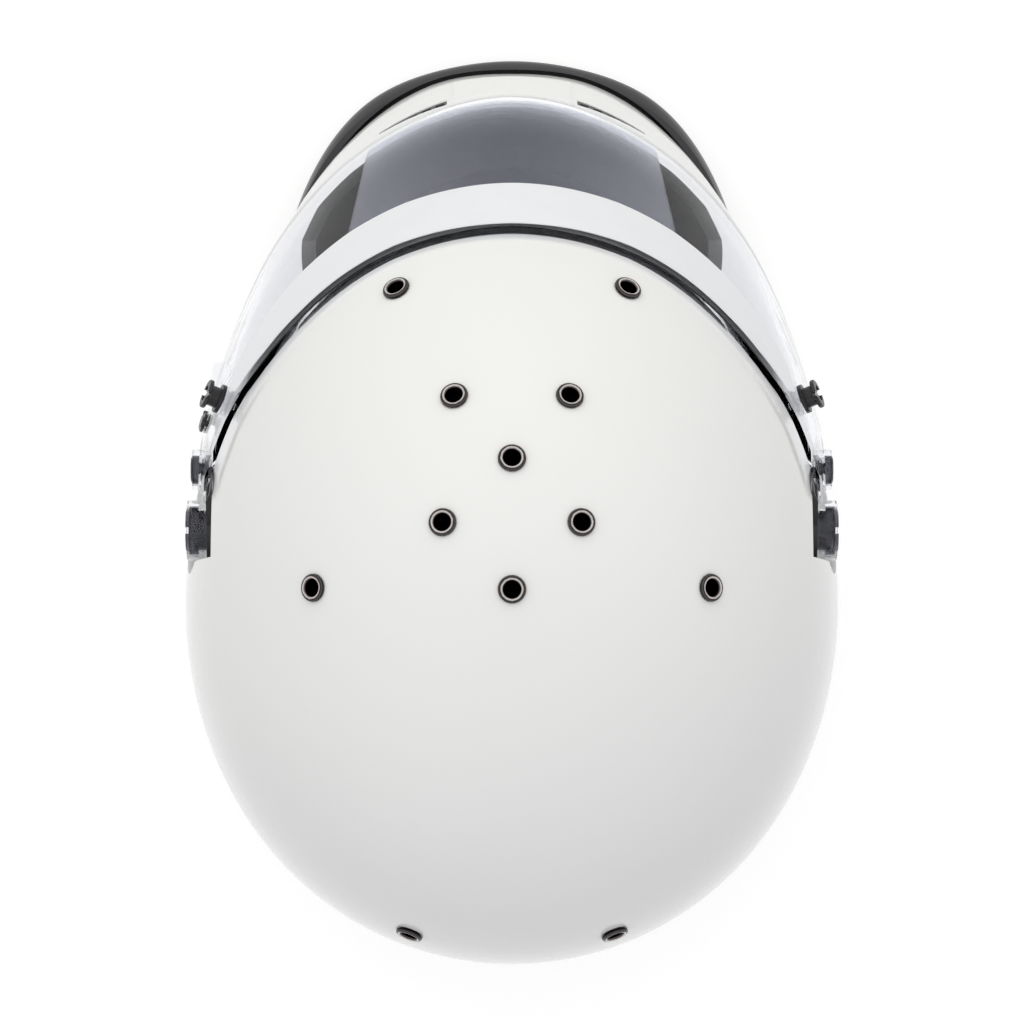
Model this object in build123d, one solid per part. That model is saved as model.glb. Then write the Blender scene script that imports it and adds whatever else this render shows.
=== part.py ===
"""Auto racing helmet with a lifting visor, built as an assembly of separate pieces.

Frame: millimetres, +Z up, the face looks toward -Y and the wearer's left is +X.
The helmet rests on its base rim at z = 0.
"""

import math
import os

from build123d import *

# Outer shell: horizontal rings from below the base up to the crown.
shell_height = 262.0
shell_half_width = 124.6
shell_front_reach = 208.1
shell_rear_reach = 137.5
shell_thickness = 4.0
widest_height_share = 0.496
ring_height_shares = (
    -0.06, 0.0, 0.115, 0.245, 0.370, 0.496, 0.611, 0.714, 0.802, 0.878, 0.939, 0.977, 0.9943,
)
ring_width_shares = (
    0.755, 0.803, 0.895, 0.963, 0.995, 1.0, 0.971, 0.902, 0.796, 0.6525, 0.4767, 0.2986, 0.1501,
)
ring_front_shares = (
    1.0, 1.0, 0.989, 0.942, 0.9128, 0.8365, 0.7569, 0.6751, 0.5766, 0.4613, 0.3364, 0.2091, 0.1047,
)
ring_rear_shares = (
    0.683, 0.747, 0.861, 0.947, 0.993, 1.0, 0.9786, 0.9217, 0.829, 0.687, 0.505, 0.3167, 0.1594,
)
ring_cheek_shares = (
    0.079, 0.079, 0.061, 0.027, -0.011, -0.0245, -0.019, 0.0, 0.0, 0.0, 0.0, 0.0, 0.0,
)
ring_jaw_shares = (
    0.021, 0.021, 0.001, -0.013, -0.015, -0.020, -0.012, 0.0, 0.0, 0.0, 0.0, 0.0, 0.0,
)
rear_fullness_share = 0.008
ring_half_steps = 6
ring_shift_shares = (0, 0, 0, 0, 0, 0, 0, 0.02, 0.08, 0.2, 0.42, 0.68, 0.86)
crown_cap_radius = 3.4
crown_cap_sink = 0.05
middle_overlap = 5.0

# Black lip in front of the chin bar.
lip_front_reach = 214.0
lip_half_width = 101.5
lip_bottom = 2.5
lip_top = 17.0
lip_crest_share = 0.45
lip_crest_shrink_share = 0.975
lip_cheek_share = 0.09
lip_jaw_share = -0.0226
lip_gap = 0.1

# The helmet is centred on Y = 0 between the lip and the back of the shell.
widest_plane_y = (lip_front_reach - shell_rear_reach) / 2

# Raised middle panel of the chin bar.
chin_panel_half_width = 23.0
chin_panel_low = 30.0
chin_panel_high = 84.0
chin_panel_rise = 0.9

# Side view outlines, as (y, z) places.
eyeport_outline_shares = (
    (-1.45, 0.705), (-0.60, 0.690), (-0.50, 0.668), (-0.455, 0.635), (-0.514, 0.546),
    (-0.584, 0.440), (-0.662, 0.372), (-0.74, 0.354), (-0.86, 0.353), (-1.45, 0.362),
)
eyeport_corner = 5.0
liner_port_outline_shares = (
    (-1.45, 0.733), (-0.601, 0.715), (-0.474, 0.684), (-0.341, 0.662), (-0.233, 0.655),
    (-0.233, 0.445), (-0.326, 0.425), (-0.556, 0.398), (-0.851, 0.386), (-1.45, 0.382),
)
liner_port_corner = 9.0
visor_outline_shares = (
    (-1.45, 0.755), (-0.593, 0.736), (-0.53, 0.7235), (-0.46, 0.7165), (-0.385, 0.7085),
    (-0.30, 0.6925), (-0.25, 0.6755), (-0.181, 0.6595), (0.0, 0.6455), (0.0, 0.5),
    (-0.156, 0.45), (-0.326, 0.393), (-0.556, 0.350), (-0.75, 0.333), (-1.45, 0.332),
)
visor_corner = 10.0
strip_outline_shares = (
    (-1.45, 0.742), (-0.607, 0.7245), (-0.56, 0.711), (-0.49, 0.701), (-0.41, 0.692),
    (-0.33, 0.678), (-0.286, 0.664), (-0.245, 0.652), (-0.245, 0.618), (-0.286, 0.600),
    (-0.286, 0.5865), (-0.39, 0.5895), (-0.50, 0.594),
    (-0.60, 0.600), (-0.66, 0.612), (-0.72, 0.637), (-1.45, 0.660),
)
strip_corner = 2.0
seal_outline_shares = (
    (-1.45, 0.738), (-0.585, 0.7185), (-0.52, 0.7055), (-0.46, 0.698), (-0.38, 0.689),
    (-0.28, 0.669), (-0.233, 0.650), (-0.233, 0.40), (-1.45, 0.40),
)
seal_front_outline_shares = (
    (-1.45, 0.7352), (-0.588, 0.7155), (-0.54, 0.7005), (-0.47, 0.690), (-0.39, 0.6775),
    (-0.31, 0.650), (-0.258, 0.618), (-0.258, 0.40), (-1.45, 0.40),
)
seal_corner = 9.0
seal_low_share = 0.64
pocket_outline_shares = (
    (-1.45, 0.752), (0.035, 0.752), (0.115, 0.712), (0.13, 0.60), (0.124, 0.52), (0.039, 0.48),
    (-0.081, 0.455), (-0.181, 0.420), (-0.326, 0.370), (-0.556, 0.325), (-1.45, 0.305),
)
pocket_corner = 6.0
outline_length_unit = 172.0
lens_upper_height = 177.0
lens_lower_height = 89.6
lens_upper_half_width = 64.5
lens_lower_half_width = 55.0
lens_corner = 3.0

# Visor layers, measured outward from the shell's outer surface.
visor_inner_offset = 1.7
visor_thickness = 2.2
strip_thickness = 0.4
strip_gap = 0.05
lens_gap = 0.1
lens_thickness = 1.1
visor_side_plane = 118.5

# Eyeport gasket, a rubber seal on the shell along the rear edge of the visor.
gasket_fit = 0.05

# Base edge trim.
trim_height = 12.0
trim_outer_offset = 1.3
trim_inner_offset = 1.4

# Visor hardware, the same on both sides.
pivot_y = 10.25
pivot_z = 150.0
arm_end_radius = 12.8
pocket_end_radius = 16.4
pocket_floor_plane = 113.0
boss_floor = 5.0
boss_margin = 5.0
base_plate_thickness = 2.4
base_plate_end_radius = 12.4
base_plate_slot_margin = 3.2
pivot_head_radius = 9.2
pivot_head_length = 5.0
pivot_head_chamfer = 1.6
pivot_shoulder_radius = 7.5
pivot_shank_radius = 3.0
pivot_slot_width = 2.4
pivot_slot_depth = 1.4
running_clearance = 0.06
head_clearance = 0.1
insert_barrel_radius = 5.0
insert_flange_radius = 9.0
insert_flange_thickness = 1.5
guide_radius = 23.0
guide_head_radius = 5.4
guide_head_length = 3.2
guide_head_chamfer = 0.9
boss_wall = 1.9
boss_gap = 0.3
boss_setback = 0.5
cut_overrun = 1.0
guide_pin_radius = 2.5
guide_pin_reach = 1.6
visor_opening_degrees = 50.0
slot_spare_degrees = 3.0

# Tear-off posts, square to the visor.
post_y = -39.35
post_z = 152.0
post_height = 6.8
post_flange_radius = 5.6
post_neck_radius = 3.9
post_base_thickness = 1.5
post_cap_thickness = 1.7
post_fillet = 0.5
post_slot_width = 2.2
post_slot_depth = 1.5
post_screw_head_radius = 3.0
post_screw_head_thickness = 1.6
post_screw_radius = 1.5
post_screw_tip_gap = 0.2
post_seat_clearance = 0.05

# Lift tab on the left side of the visor.
tab_rear_y = -41.0
tab_front_y = -54.0
tab_reach_plane = 114.4
tab_root_plane = 104.0
tab_low = 126.0
tab_thickness = 2.4

# Visor latch on the left side.
latch_y = -30.75
latch_z = 127.0
latch_pin_radius = 1.5
latch_pin_head_radius = 2.2
latch_pin_head_thickness = 0.4
latch_hub_radius = 3.8
latch_thickness = 1.0
latch_length = 15.5
latch_tip_radius = 2.2
latch_gap = 0.25
catch_y = -32.25
catch_z = 106.5
catch_radius = 2.4
catch_height = 5.2
catch_depth = 3.0

# Vents in the crown and the rear slope.
front_vent_x, front_vent_y = 43.0, -79.75
brow_vent_x, brow_vent_y = 21.2, -39.25
middle_vent_y = -16.35
crown_vent_x, crown_vent_y = 25.3, 7.05
side_vent_x, side_vent_y = 73.0, 31.15
top_vent_y = 31.45
rear_vent_x, rear_vent_y = 38.4, 161.25
eyelet_outer_radius = 5.2
eyelet_rim_radius = 1.05
eyelet_bore_radius = 3.25
eyelet_barrel_radius = 4.0
eyelet_length = 4.4
eyelet_seat_depth = 0.35
eyelet_fit = 0.05
liner_vent_radius = 5.0

# Chin vents, seen from the front as (x, z) places.
chin_vent_inner_x = 25.5
chin_vent_outer_x = 52.0
chin_vent_low = 49.5
chin_vent_high = 56.5
chin_vent_tip_low = 55.5
chin_vent_tip_high = 57.5
chin_vent_corner = 0.8
chin_vent_recess = 0.35
chin_vent_fit = 0.05
chin_vent_slats = 4
chin_vent_slat_share = 0.35

# Liners, offsets are inward from the shell's outer surface.
liner_outer_offset = 4.9
impact_liner_depth = 33.0
comfort_gap = 0.6
comfort_liner_depth = 41.0
impact_liner_low = 70.0
comfort_liner_low = 76.0
liner_port_margin = 7.0
soft_gap = 0.8
chin_liner_depth = 23.0
chin_liner_low = 14.0
chin_liner_high = 86.0
chin_liner_rear_y = -88.75
cheek_pad_depth = 45.0
cheek_pad_low = 14.0
cheek_pad_high = 69.4
cheek_pad_front_y = -86.75
cheek_pad_rear_y = 27.25
cheek_pad_round = 6.0
neck_roll_depth = 25.0
neck_roll_low = 12.6
neck_roll_high = 62.0
neck_roll_front_y = 65.25
neck_roll_round = 6.0

# Chin strap.
strap_y = 46.25
strap_width = 25.0
strap_thickness = 2.0
strap_anchor_z = 44.0
strap_seat = 5.1
strap_upper_length = 10.0
strap_lower_length = 11.0
long_strap_places_shares = ((0.77, 0.085), (0.60, 0.048), (0.34, 0.029), (0.07, 0.025))
short_strap_places_shares = ((0.78, 0.112),)
rivet_head_radius = 7.0
rivet_head_thickness = 1.8
rivet_shank_radius = 2.4
rivet_tail_radius = 5.0
rivet_tail_thickness = 1.2
rivet_rise = 0.6
rivet_fit = 0.05
anchor_plate_thickness = 1.6
anchor_plate_height = 19.0
anchor_plate_width = 20.0
anchor_plate_corner = 4.0
ring_bar_x = 76.0
ring_bar_z = 26.0
ring_half_length = 16.8
ring_reach = 19.0
ring_wire = 3.0
ring_corner = 2.0
ring_spacing = 4.4
ring_loop_clearance = 0.8

span = 400.0


def ring_points(half_width, front_reach, rear_reach, cheek, jaw, centre_y, height):
    """Places along the left half of one horizontal ring, from the front to the back."""
    places = [(0, centre_y - front_reach, height)]
    for step in range(1, 2 * ring_half_steps):
        turn = math.pi * step / (2 * ring_half_steps)
        wave = math.sin(2 * turn) ** 2
        if step < ring_half_steps:
            reach, swell = front_reach, 1 + wave * (cheek + jaw * math.cos(4 * turn))
        else:
            reach, swell = rear_reach, 1 + rear_fullness_share * wave
        x = half_width * swell * math.sin(turn)
        places.append((x, centre_y - reach * swell * math.cos(turn), height))
    return places + [(0, centre_y + rear_reach, height)]


def half_ring(half_width, front_reach, rear_reach, cheek, jaw, centre_y, height):
    """The left half of a ring, closed a little past the middle plane."""
    places = ring_points(half_width, front_reach, rear_reach, cheek, jaw, centre_y, height)
    front, rear = places[0], places[-1]
    past_front = (-middle_overlap, front[1], height)
    past_rear = (-middle_overlap, rear[1], height)
    curve = Edge.make_spline(places, tangents=[(1, 0, 0), (-1, 0, 0)], scale=False)
    return Wire([
        curve,
        Edge.make_line(rear, past_rear),
        Edge.make_line(past_rear, past_front),
        Edge.make_line(past_front, front),
    ])


def layer(offset):
    """The left half of the helmet form, grown by offset at its widest places."""
    middle = shell_height * widest_height_share
    front_middle = shell_front_reach * ring_front_shares[ring_height_shares.index(widest_height_share)]
    width_scale = (shell_half_width + offset) / shell_half_width
    front_scale = (front_middle + offset) / front_middle
    rear_scale = (shell_rear_reach + offset) / shell_rear_reach
    rise_scale = (shell_height - middle + offset) / (shell_height - middle)
    rings = []
    for index, height_share in enumerate(ring_height_shares):
        height = shell_height * height_share
        if height > middle:
            height = middle + (height - middle) * rise_scale
        rings.append(half_ring(
            shell_half_width * ring_width_shares[index] * width_scale,
            shell_front_reach * ring_front_shares[index] * front_scale,
            shell_rear_reach * ring_rear_shares[index] * rear_scale,
            ring_cheek_shares[index],
            ring_jaw_shares[index],
            widest_plane_y - (widest_plane_y - top_vent_y) * ring_shift_shares[index],
            height,
        ))
    cap_height = shell_height + offset - crown_cap_sink
    rings.append(half_ring(
        crown_cap_radius, crown_cap_radius, crown_cap_radius, 0, 0, top_vent_y, cap_height,
    ))
    return Solid.make_loft(rings) & x_slab(0, span)


def slab(low, high):
    """Everything between two heights."""
    return Pos(0, 0, (low + high) / 2) * Box(2 * span, 2 * span, high - low)


def y_slab(front, rear):
    """Everything between two places along Y."""
    return Pos(0, (front + rear) / 2, 0) * Box(2 * span, rear - front, 2 * span)


def x_slab(inner, outer):
    """Everything between two places along X."""
    return Pos((inner + outer) / 2, 0, 0) * Box(outer - inner, 2 * span, 2 * span)


def block(x_range, y_range, z_range):
    """A box between named places on each axis."""
    sizes = [high - low for low, high in (x_range, y_range, z_range)]
    middles = [(low + high) / 2 for low, high in (x_range, y_range, z_range)]
    return Pos(*middles) * Box(*sizes)


def outline_face(shares, corner, growth=0):
    """A rounded side view face in the YZ plane."""
    places = [(0, y * outline_length_unit, z * shell_height) for y, z in shares]
    face = Face(Wire.make_polygon(places, close=True))
    inner_corners = [v for v in face.vertices() if v.Y > -outline_length_unit]
    face = face.fillet_2d(corner, inner_corners)
    if growth:
        face = Face(face.outer_wire().offset_2d(growth, Kind.ARC))
    return face


def side_prism(face, inner, outer):
    """A YZ face drawn out along X between two planes."""
    return extrude(Pos(inner, 0, 0) * face, amount=outer - inner, dir=(1, 0, 0))


def across_prism(face):
    """A YZ face drawn out through the whole helmet."""
    return side_prism(face, -span, span)


def x_cylinder(y, z, radius, inner, outer):
    """A cylinder along X between two planes."""
    middle = Plane(origin=((inner + outer) / 2, y, z), z_dir=(1, 0, 0))
    return middle * Cylinder(radius, outer - inner)


def mirrored(shape):
    """The same piece on the wearer's right."""
    return mirror(shape, about=Plane.YZ)


def whole(half):
    """A left half joined with its mirror image."""
    return half + mirrored(half)


def eyeport_face():
    """The eyeport seen from the side."""
    return outline_face(eyeport_outline_shares, eyeport_corner)


def liner_port_face(growth):
    """The front opening of the liners seen from the side."""
    return outline_face(liner_port_outline_shares, liner_port_corner, growth)


def pocket_prism(growth, inner):
    """The recess on the wearer's left in which the visor arm turns."""
    face = outline_face(pocket_outline_shares, pocket_corner, growth)
    end = x_cylinder(pivot_y, pivot_z, pocket_end_radius + growth, inner, span)
    return side_prism(face, inner, span) + end


def surface_plane(body, x, y):
    """A working plane on the highest place of a body over (x, y)."""
    hits = body.find_intersection_points(Axis((x, y, -span), (0, 0, 1)))
    place, outward = max(hits, key=lambda hit: hit[0].Z)
    return Plane(origin=place, x_dir=(1, 0, 0), z_dir=outward)


def side_plane(body, y, z):
    """A working plane on the outermost place of a body on the wearer's left."""
    hits = body.find_intersection_points(Axis((-span, y, z), (1, 0, 0)))
    place, outward = max(hits, key=lambda hit: hit[0].X)
    return Plane(origin=place, x_dir=(0, 0, 1), z_dir=outward)


def paired_vent_places():
    """Where the eyelets on the wearer's left sit, seen from above."""
    return [
        (front_vent_x, front_vent_y),
        (brow_vent_x, brow_vent_y),
        (crown_vent_x, crown_vent_y),
        (side_vent_x, side_vent_y),
        (rear_vent_x, rear_vent_y),
    ]


def middle_vent_planes(outer):
    """Working planes of the two vents on the middle plane, square to it."""
    planes = []
    for y in (middle_vent_y, top_vent_y):
        near = surface_plane(outer, crown_cap_radius + middle_overlap, y)
        middle = surface_plane(outer, eyelet_rim_radius, y)
        upward = Vector(0, near.z_dir.Y, near.z_dir.Z).normalized()
        planes.append(Plane(origin=(0, y, middle.origin.Z), x_dir=(1, 0, 0), z_dir=upward))
    return planes


def vent_cutter(plane):
    """Bore and seat for one eyelet."""
    reach = 3 * eyelet_length
    bore = Pos(0, 0, -reach / 2) * Cylinder(eyelet_barrel_radius + eyelet_fit, reach)
    seat = Pos(0, 0, (eyelet_length - eyelet_seat_depth) / 2)
    seat = seat * Cylinder(eyelet_outer_radius + eyelet_fit, eyelet_length + eyelet_seat_depth)
    return plane * (bore + seat)


def eyelet(plane):
    """One metal eyelet: a short tube with a rolled rim."""
    tube_top = 2 * eyelet_rim_radius - eyelet_seat_depth - eyelet_rim_radius / 2
    tube_length = eyelet_length + tube_top
    tube = Pos(0, 0, tube_top - tube_length / 2) * Cylinder(eyelet_barrel_radius, tube_length)
    rim = Torus(eyelet_outer_radius - eyelet_rim_radius, eyelet_rim_radius)
    rim = Pos(0, 0, eyelet_rim_radius - eyelet_seat_depth) * rim
    bore = Cylinder(eyelet_bore_radius, 4 * eyelet_length)
    return plane * (tube + rim - bore)


def chin_vent_face(growth):
    """One wedge slot of the chin bar, seen from the front, on the wearer's left."""
    corners = [
        (chin_vent_inner_x, 0, chin_vent_low),
        (chin_vent_inner_x, 0, chin_vent_high),
        (chin_vent_outer_x, 0, chin_vent_tip_high),
        (chin_vent_outer_x, 0, chin_vent_tip_low),
    ]
    face = Face(Wire.make_polygon(corners, close=True))
    face = face.fillet_2d(chin_vent_corner, face.vertices())
    if growth:
        face = Face(face.outer_wire().offset_2d(growth, Kind.ARC))
    return face


def front_prism(face):
    """An XZ face drawn out forward from the middle of the helmet."""
    return extrude(face, amount=span, dir=(0, -1, 0))


def boss_plane():
    """Inner face of the shell's boss behind the pivot."""
    return pocket_floor_plane - boss_floor


def strap_plane(forms):
    """Working plane on the shell at the strap rivet, square to the XZ plane."""
    plane = side_plane(forms["outer"], strap_y, strap_anchor_z)
    outward = Vector(plane.z_dir.X, 0, plane.z_dir.Z).normalized()
    return Plane(origin=plane.origin, x_dir=(0, 1, 0), z_dir=outward)


def rivet_bore(forms):
    """Bore through the shell and the strap for the rivet."""
    return strap_plane(forms) * Cylinder(rivet_shank_radius + rivet_fit, 4 * strap_width)


def stack_disc(radius, low, high):
    """A cylinder along Z between two heights of a working plane."""
    return Pos(0, 0, (low + high) / 2) * Cylinder(radius, high - low)


def make_shell(forms, vents):
    """Outer shell with every opening cut in it (left half)."""
    outer = forms["outer"]
    boss = outer & pocket_prism(boss_margin, boss_plane())
    panel_box = block(
        (0, chin_panel_half_width), (-span, -outline_length_unit / 2), (chin_panel_low, chin_panel_high),
    )
    panel = (layer(chin_panel_rise) & panel_box) - forms["inner"]
    wall = outer - forms["inner"] + boss + panel
    insert_bore = x_cylinder(
        pivot_y, pivot_z, insert_barrel_radius + running_clearance, 0, span,
    )
    cutters = [
        pocket_prism(0, pocket_floor_plane),
        across_prism(eyeport_face()),
        front_prism(chin_vent_face(0)),
        insert_bore,
        rivet_bore(forms),
        slab(-span, trim_height),
    ]
    return wall - cutters - [vent_cutter(plane) for plane in vents]


def make_lip():
    """Black lip that grows out of the lower front of the chin bar (left half)."""
    rings = []
    for height_share, scale in (
        (0, lip_crest_shrink_share), (lip_crest_share, 1), (1, lip_crest_shrink_share),
    ):
        height = lip_bottom + (lip_top - lip_bottom) * height_share
        rings.append(half_ring(
            lip_half_width, lip_front_reach * scale, shell_rear_reach / 2, lip_cheek_share,
            lip_jaw_share, widest_plane_y, height,
        ))
    body = Solid.make_loft(rings) & block((0, span), (-span, -outline_length_unit / 2), (0, span))
    return body - layer(trim_outer_offset + lip_gap)


def make_trim(forms):
    """Rubber band round the base rim, under the shell (left half)."""
    return (forms["trim_outer"] - forms["channel_inner"]) & slab(0, trim_height)


def make_gasket(forms):
    """Rubber seal along the rear edge of the visor, wider toward the sides (left half)."""
    outline = outline_face(seal_outline_shares, seal_corner)
    within = outline_face(seal_front_outline_shares, seal_corner)
    band = (across_prism(outline) - across_prism(within)) & slab(seal_low_share * shell_height, span)
    return (forms["trim_outer"] - layer(gasket_fit)) & band & y_slab(-span, 0)


def make_chin_vent_insert(forms):
    """Recessed grille in the chin slot on the wearer's left."""
    core = (layer(-chin_vent_recess) - forms["inner"]) & front_prism(chin_vent_face(-chin_vent_fit))
    pitch = (chin_vent_outer_x - chin_vent_inner_x) / (chin_vent_slats + 1)
    middle_height = (chin_vent_low + chin_vent_tip_high) / 2
    gaps = []
    for index in range(chin_vent_slats):
        x = chin_vent_inner_x + pitch * (index + 1 / 2)
        gap_height = (chin_vent_high - chin_vent_low) * (1 - (index + 1) / (chin_vent_slats + 2)) / 2
        gaps.append(Pos(x, -outline_length_unit, middle_height + index * chin_vent_corner) * Box(
            pitch * (1 - chin_vent_slat_share), outline_length_unit, gap_height,
        ))
    return core - gaps


def make_visor(forms):
    """Clear visor with flat side arms (left half)."""
    sheet = (forms["visor_outer"] & x_slab(0, visor_side_plane))
    sheet = sheet - (forms["visor_inner"] & x_slab(0, visor_side_plane - visor_thickness))
    arm_end = x_cylinder(pivot_y, pivot_z, arm_end_radius, 0, span)
    cutters = [
        x_cylinder(pivot_y, pivot_z, pivot_shoulder_radius + running_clearance, visor_half_span(), span),
        x_cylinder(guide_y(), pivot_z, guide_pin_radius, visor_half_span(), span),
        post_plane(forms) * Cylinder(post_screw_radius + post_seat_clearance, 4 * visor_thickness),
    ]
    outline = across_prism(outline_face(visor_outline_shares, visor_corner)) + arm_end
    bosses = [
        visor_boss(pivot_y, pivot_head_radius + boss_gap, head_clearance + pivot_head_length),
        visor_boss(guide_y(), guide_head_radius + boss_gap, guide_head_length),
    ]
    return (sheet & outline) - cutters + bosses


def visor_boss(y, inner_radius, head_end):
    """Clear collar on the visor arm round the head of a screw (left side)."""
    end = visor_side_plane + head_end - boss_setback
    collar = x_cylinder(y, pivot_z, inner_radius + boss_wall, visor_side_plane - visor_thickness / 2, end)
    rim = collar.edges().group_by(Axis.X)[-1]
    return fillet(rim, boss_setback) - x_cylinder(y, pivot_z, inner_radius, 0, span)


def visor_half_span():
    """A plane well inside the visor arm, from which its bores are cut."""
    return shell_half_width / 2


def guide_y():
    """Where the guide screw sits with the visor shut."""
    return pivot_y - guide_radius


def make_strip():
    """White sun strip on the outside of the visor (left half)."""
    inner = layer(visor_inner_offset + visor_thickness + strip_gap)
    outer = layer(visor_inner_offset + visor_thickness + strip_gap + strip_thickness)
    return (outer - inner) & across_prism(outline_face(strip_outline_shares, strip_corner))


def make_lens():
    """Inner lens behind the middle of the visor (left half)."""
    outer = layer(visor_inner_offset - lens_gap)
    inner = layer(visor_inner_offset - lens_gap - lens_thickness)
    corners = [
        (-lens_lower_half_width, 0, lens_lower_height),
        (lens_lower_half_width, 0, lens_lower_height),
        (lens_upper_half_width, 0, lens_upper_height),
        (-lens_upper_half_width, 0, lens_upper_height),
    ]
    face = Face(Wire.make_polygon(corners, close=True))
    face = face.fillet_2d(lens_corner, face.vertices())
    return (outer - inner) & front_prism(face)


def slot_cutter():
    """Arc slot in the base plate for the pin of the guide screw."""
    half_width = guide_pin_radius + running_clearance
    low, high = -slot_spare_degrees, visor_opening_degrees + slot_spare_degrees
    inner_plane, outer_plane = pocket_floor_plane - cut_overrun, visor_side_plane
    ring = x_cylinder(pivot_y, pivot_z, guide_radius + half_width, inner_plane, outer_plane)
    ring = ring - x_cylinder(pivot_y, pivot_z, guide_radius - half_width, inner_plane, outer_plane)
    reach = 3 * guide_radius
    corners = [(0, pivot_y, pivot_z)]
    for turn in (low, (low + high) / 2, high):
        angle = math.radians(turn)
        corners.append((0, pivot_y - reach * math.cos(angle), pivot_z + reach * math.sin(angle)))
    wedge = side_prism(Face(Wire.make_polygon(corners, close=True)), inner_plane, outer_plane)
    slot = ring & wedge
    for turn in (low, high):
        y, z = guide_place(turn)
        slot = slot + x_cylinder(y, z, half_width, inner_plane, outer_plane)
    return slot


def guide_place(turn):
    """Where the guide pin stands with the visor opened by turn degrees."""
    angle = math.radians(turn)
    return pivot_y - guide_radius * math.cos(angle), pivot_z + guide_radius * math.sin(angle)


def make_base_plate():
    """Black plate in the recess that carries the visor (left side)."""
    inner, outer = pocket_floor_plane, pocket_floor_plane + base_plate_thickness
    plate = x_cylinder(pivot_y, pivot_z, base_plate_end_radius, inner, outer)
    under_visor = layer(visor_inner_offset - base_plate_thickness / 4)
    pad_radius = base_plate_slot_margin + guide_pin_radius
    low_y, low_z = guide_place(0)
    high_y, high_z = guide_place(visor_opening_degrees)
    corners = [
        (0, pivot_y, pivot_z - base_plate_end_radius),
        (0, low_y, low_z - pad_radius),
        (0, low_y - pad_radius, low_z),
        (0, high_y - pad_radius, high_z + pad_radius / 2),
        (0, high_y, high_z + pad_radius),
        (0, pivot_y + base_plate_end_radius, pivot_z),
    ]
    face = Face(Wire.make_polygon(corners, close=True))
    face = face.fillet_2d(base_plate_thickness, face.vertices())
    plate = plate + side_prism(face, inner, outer)
    bore = x_cylinder(
        pivot_y, pivot_z, pivot_shank_radius + running_clearance, inner - cut_overrun, outer + cut_overrun,
    )
    return (plate & under_visor) - bore - slot_cutter()


def make_pivot_screw():
    """Screw on which the visor turns, with a coin slot (left side)."""
    plate_face = pocket_floor_plane + base_plate_thickness
    head_start = visor_side_plane + head_clearance
    head_end = head_start + pivot_head_length
    head = x_cylinder(pivot_y, pivot_z, pivot_head_radius, head_start, head_end)
    head = chamfer(head.edges().group_by(Axis.X)[-1], pivot_head_chamfer)
    shoulder = x_cylinder(pivot_y, pivot_z, pivot_shoulder_radius, plate_face, head_start)
    shank_end = boss_plane() - insert_flange_thickness
    shank = x_cylinder(pivot_y, pivot_z, pivot_shank_radius, shank_end, plate_face)
    slot = block(
        (head_end - pivot_slot_depth, head_end + cut_overrun),
        (pivot_y - pivot_slot_width / 2, pivot_y + pivot_slot_width / 2),
        (pivot_z - 2 * pivot_head_radius, pivot_z + 2 * pivot_head_radius),
    )
    return head + shoulder + shank - slot


def make_pivot_insert():
    """Flanged threaded insert behind the pivot screw (left side)."""
    flange_start = boss_plane() - insert_flange_thickness
    barrel = x_cylinder(pivot_y, pivot_z, insert_barrel_radius, flange_start, pocket_floor_plane)
    flange = x_cylinder(pivot_y, pivot_z, insert_flange_radius, flange_start, boss_plane())
    bore = x_cylinder(
        pivot_y, pivot_z, pivot_shank_radius + running_clearance,
        flange_start - cut_overrun, pocket_floor_plane + cut_overrun,
    )
    return barrel + flange - bore


def make_guide_screw():
    """Screw fixed in the visor, its pin runs in the slot of the base plate (left side)."""
    head_start = visor_side_plane
    head = x_cylinder(guide_y(), pivot_z, guide_head_radius, head_start, head_start + guide_head_length)
    head = chamfer(head.edges().group_by(Axis.X)[-1], guide_head_chamfer)
    pin_end = pocket_floor_plane + base_plate_thickness - guide_pin_reach
    pin = x_cylinder(guide_y(), pivot_z, guide_pin_radius - running_clearance / 2, pin_end, head_start)
    return head + pin


def post_plane(forms):
    """Working plane of the tear-off post on the visor: its X runs up and its Z straight out."""
    return side_plane(forms["visor_outer"], post_y, post_z)


def make_post(forms):
    """Tear-off post with two flanges and a slot across its cap (left side)."""
    base = stack_disc(post_flange_radius, -post_height, post_base_thickness)
    neck = stack_disc(post_neck_radius, 0, post_height)
    cap = stack_disc(post_flange_radius, post_height - post_cap_thickness, post_height)
    cap = fillet(cap.edges(), post_fillet)
    bore = stack_disc(post_screw_radius + post_seat_clearance, -post_height, 2 * post_height)
    head_seat = stack_disc(
        post_screw_head_radius + post_seat_clearance, post_height - post_screw_head_thickness, 2 * post_height,
    )
    slot = Pos(0, 0, post_height) * Box(2 * span, post_slot_width, 2 * post_slot_depth)
    seat = layer(visor_inner_offset + visor_thickness + post_seat_clearance)
    post = post_plane(forms) * (neck + base + cap - bore - head_seat - slot)
    return post - seat


def make_post_screw(forms):
    """Screw that holds the tear-off post on the visor (left side)."""
    head_start = post_height - post_screw_head_thickness
    head_end = post_height - post_slot_depth / 2
    shank = stack_disc(post_screw_radius, post_screw_tip_gap - visor_thickness, head_start)
    head = stack_disc(post_screw_head_radius, head_start, head_end)
    slot = Pos(0, 0, head_end) * Box(2 * span, post_slot_width / 2, post_slot_depth / 2)
    return post_plane(forms) * (shank + head - slot)


def make_tab():
    """Clear lift tab on the left edge of the visor."""
    tab = block(
        (tab_root_plane, tab_reach_plane), (tab_front_y, tab_rear_y), (tab_low, tab_low + tab_thickness),
    )
    outer_edges = tab.edges().filter_by(Axis.Z).group_by(Axis.X)[-1]
    tab = fillet(outer_edges, tab_thickness)
    return tab - layer(visor_inner_offset + visor_thickness + post_seat_clearance)


def latch_plane(forms):
    """Working plane of the latch lever: its X runs up and its Z straight out of the visor."""
    return side_plane(forms["visor_outer"], latch_y, latch_z)


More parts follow.
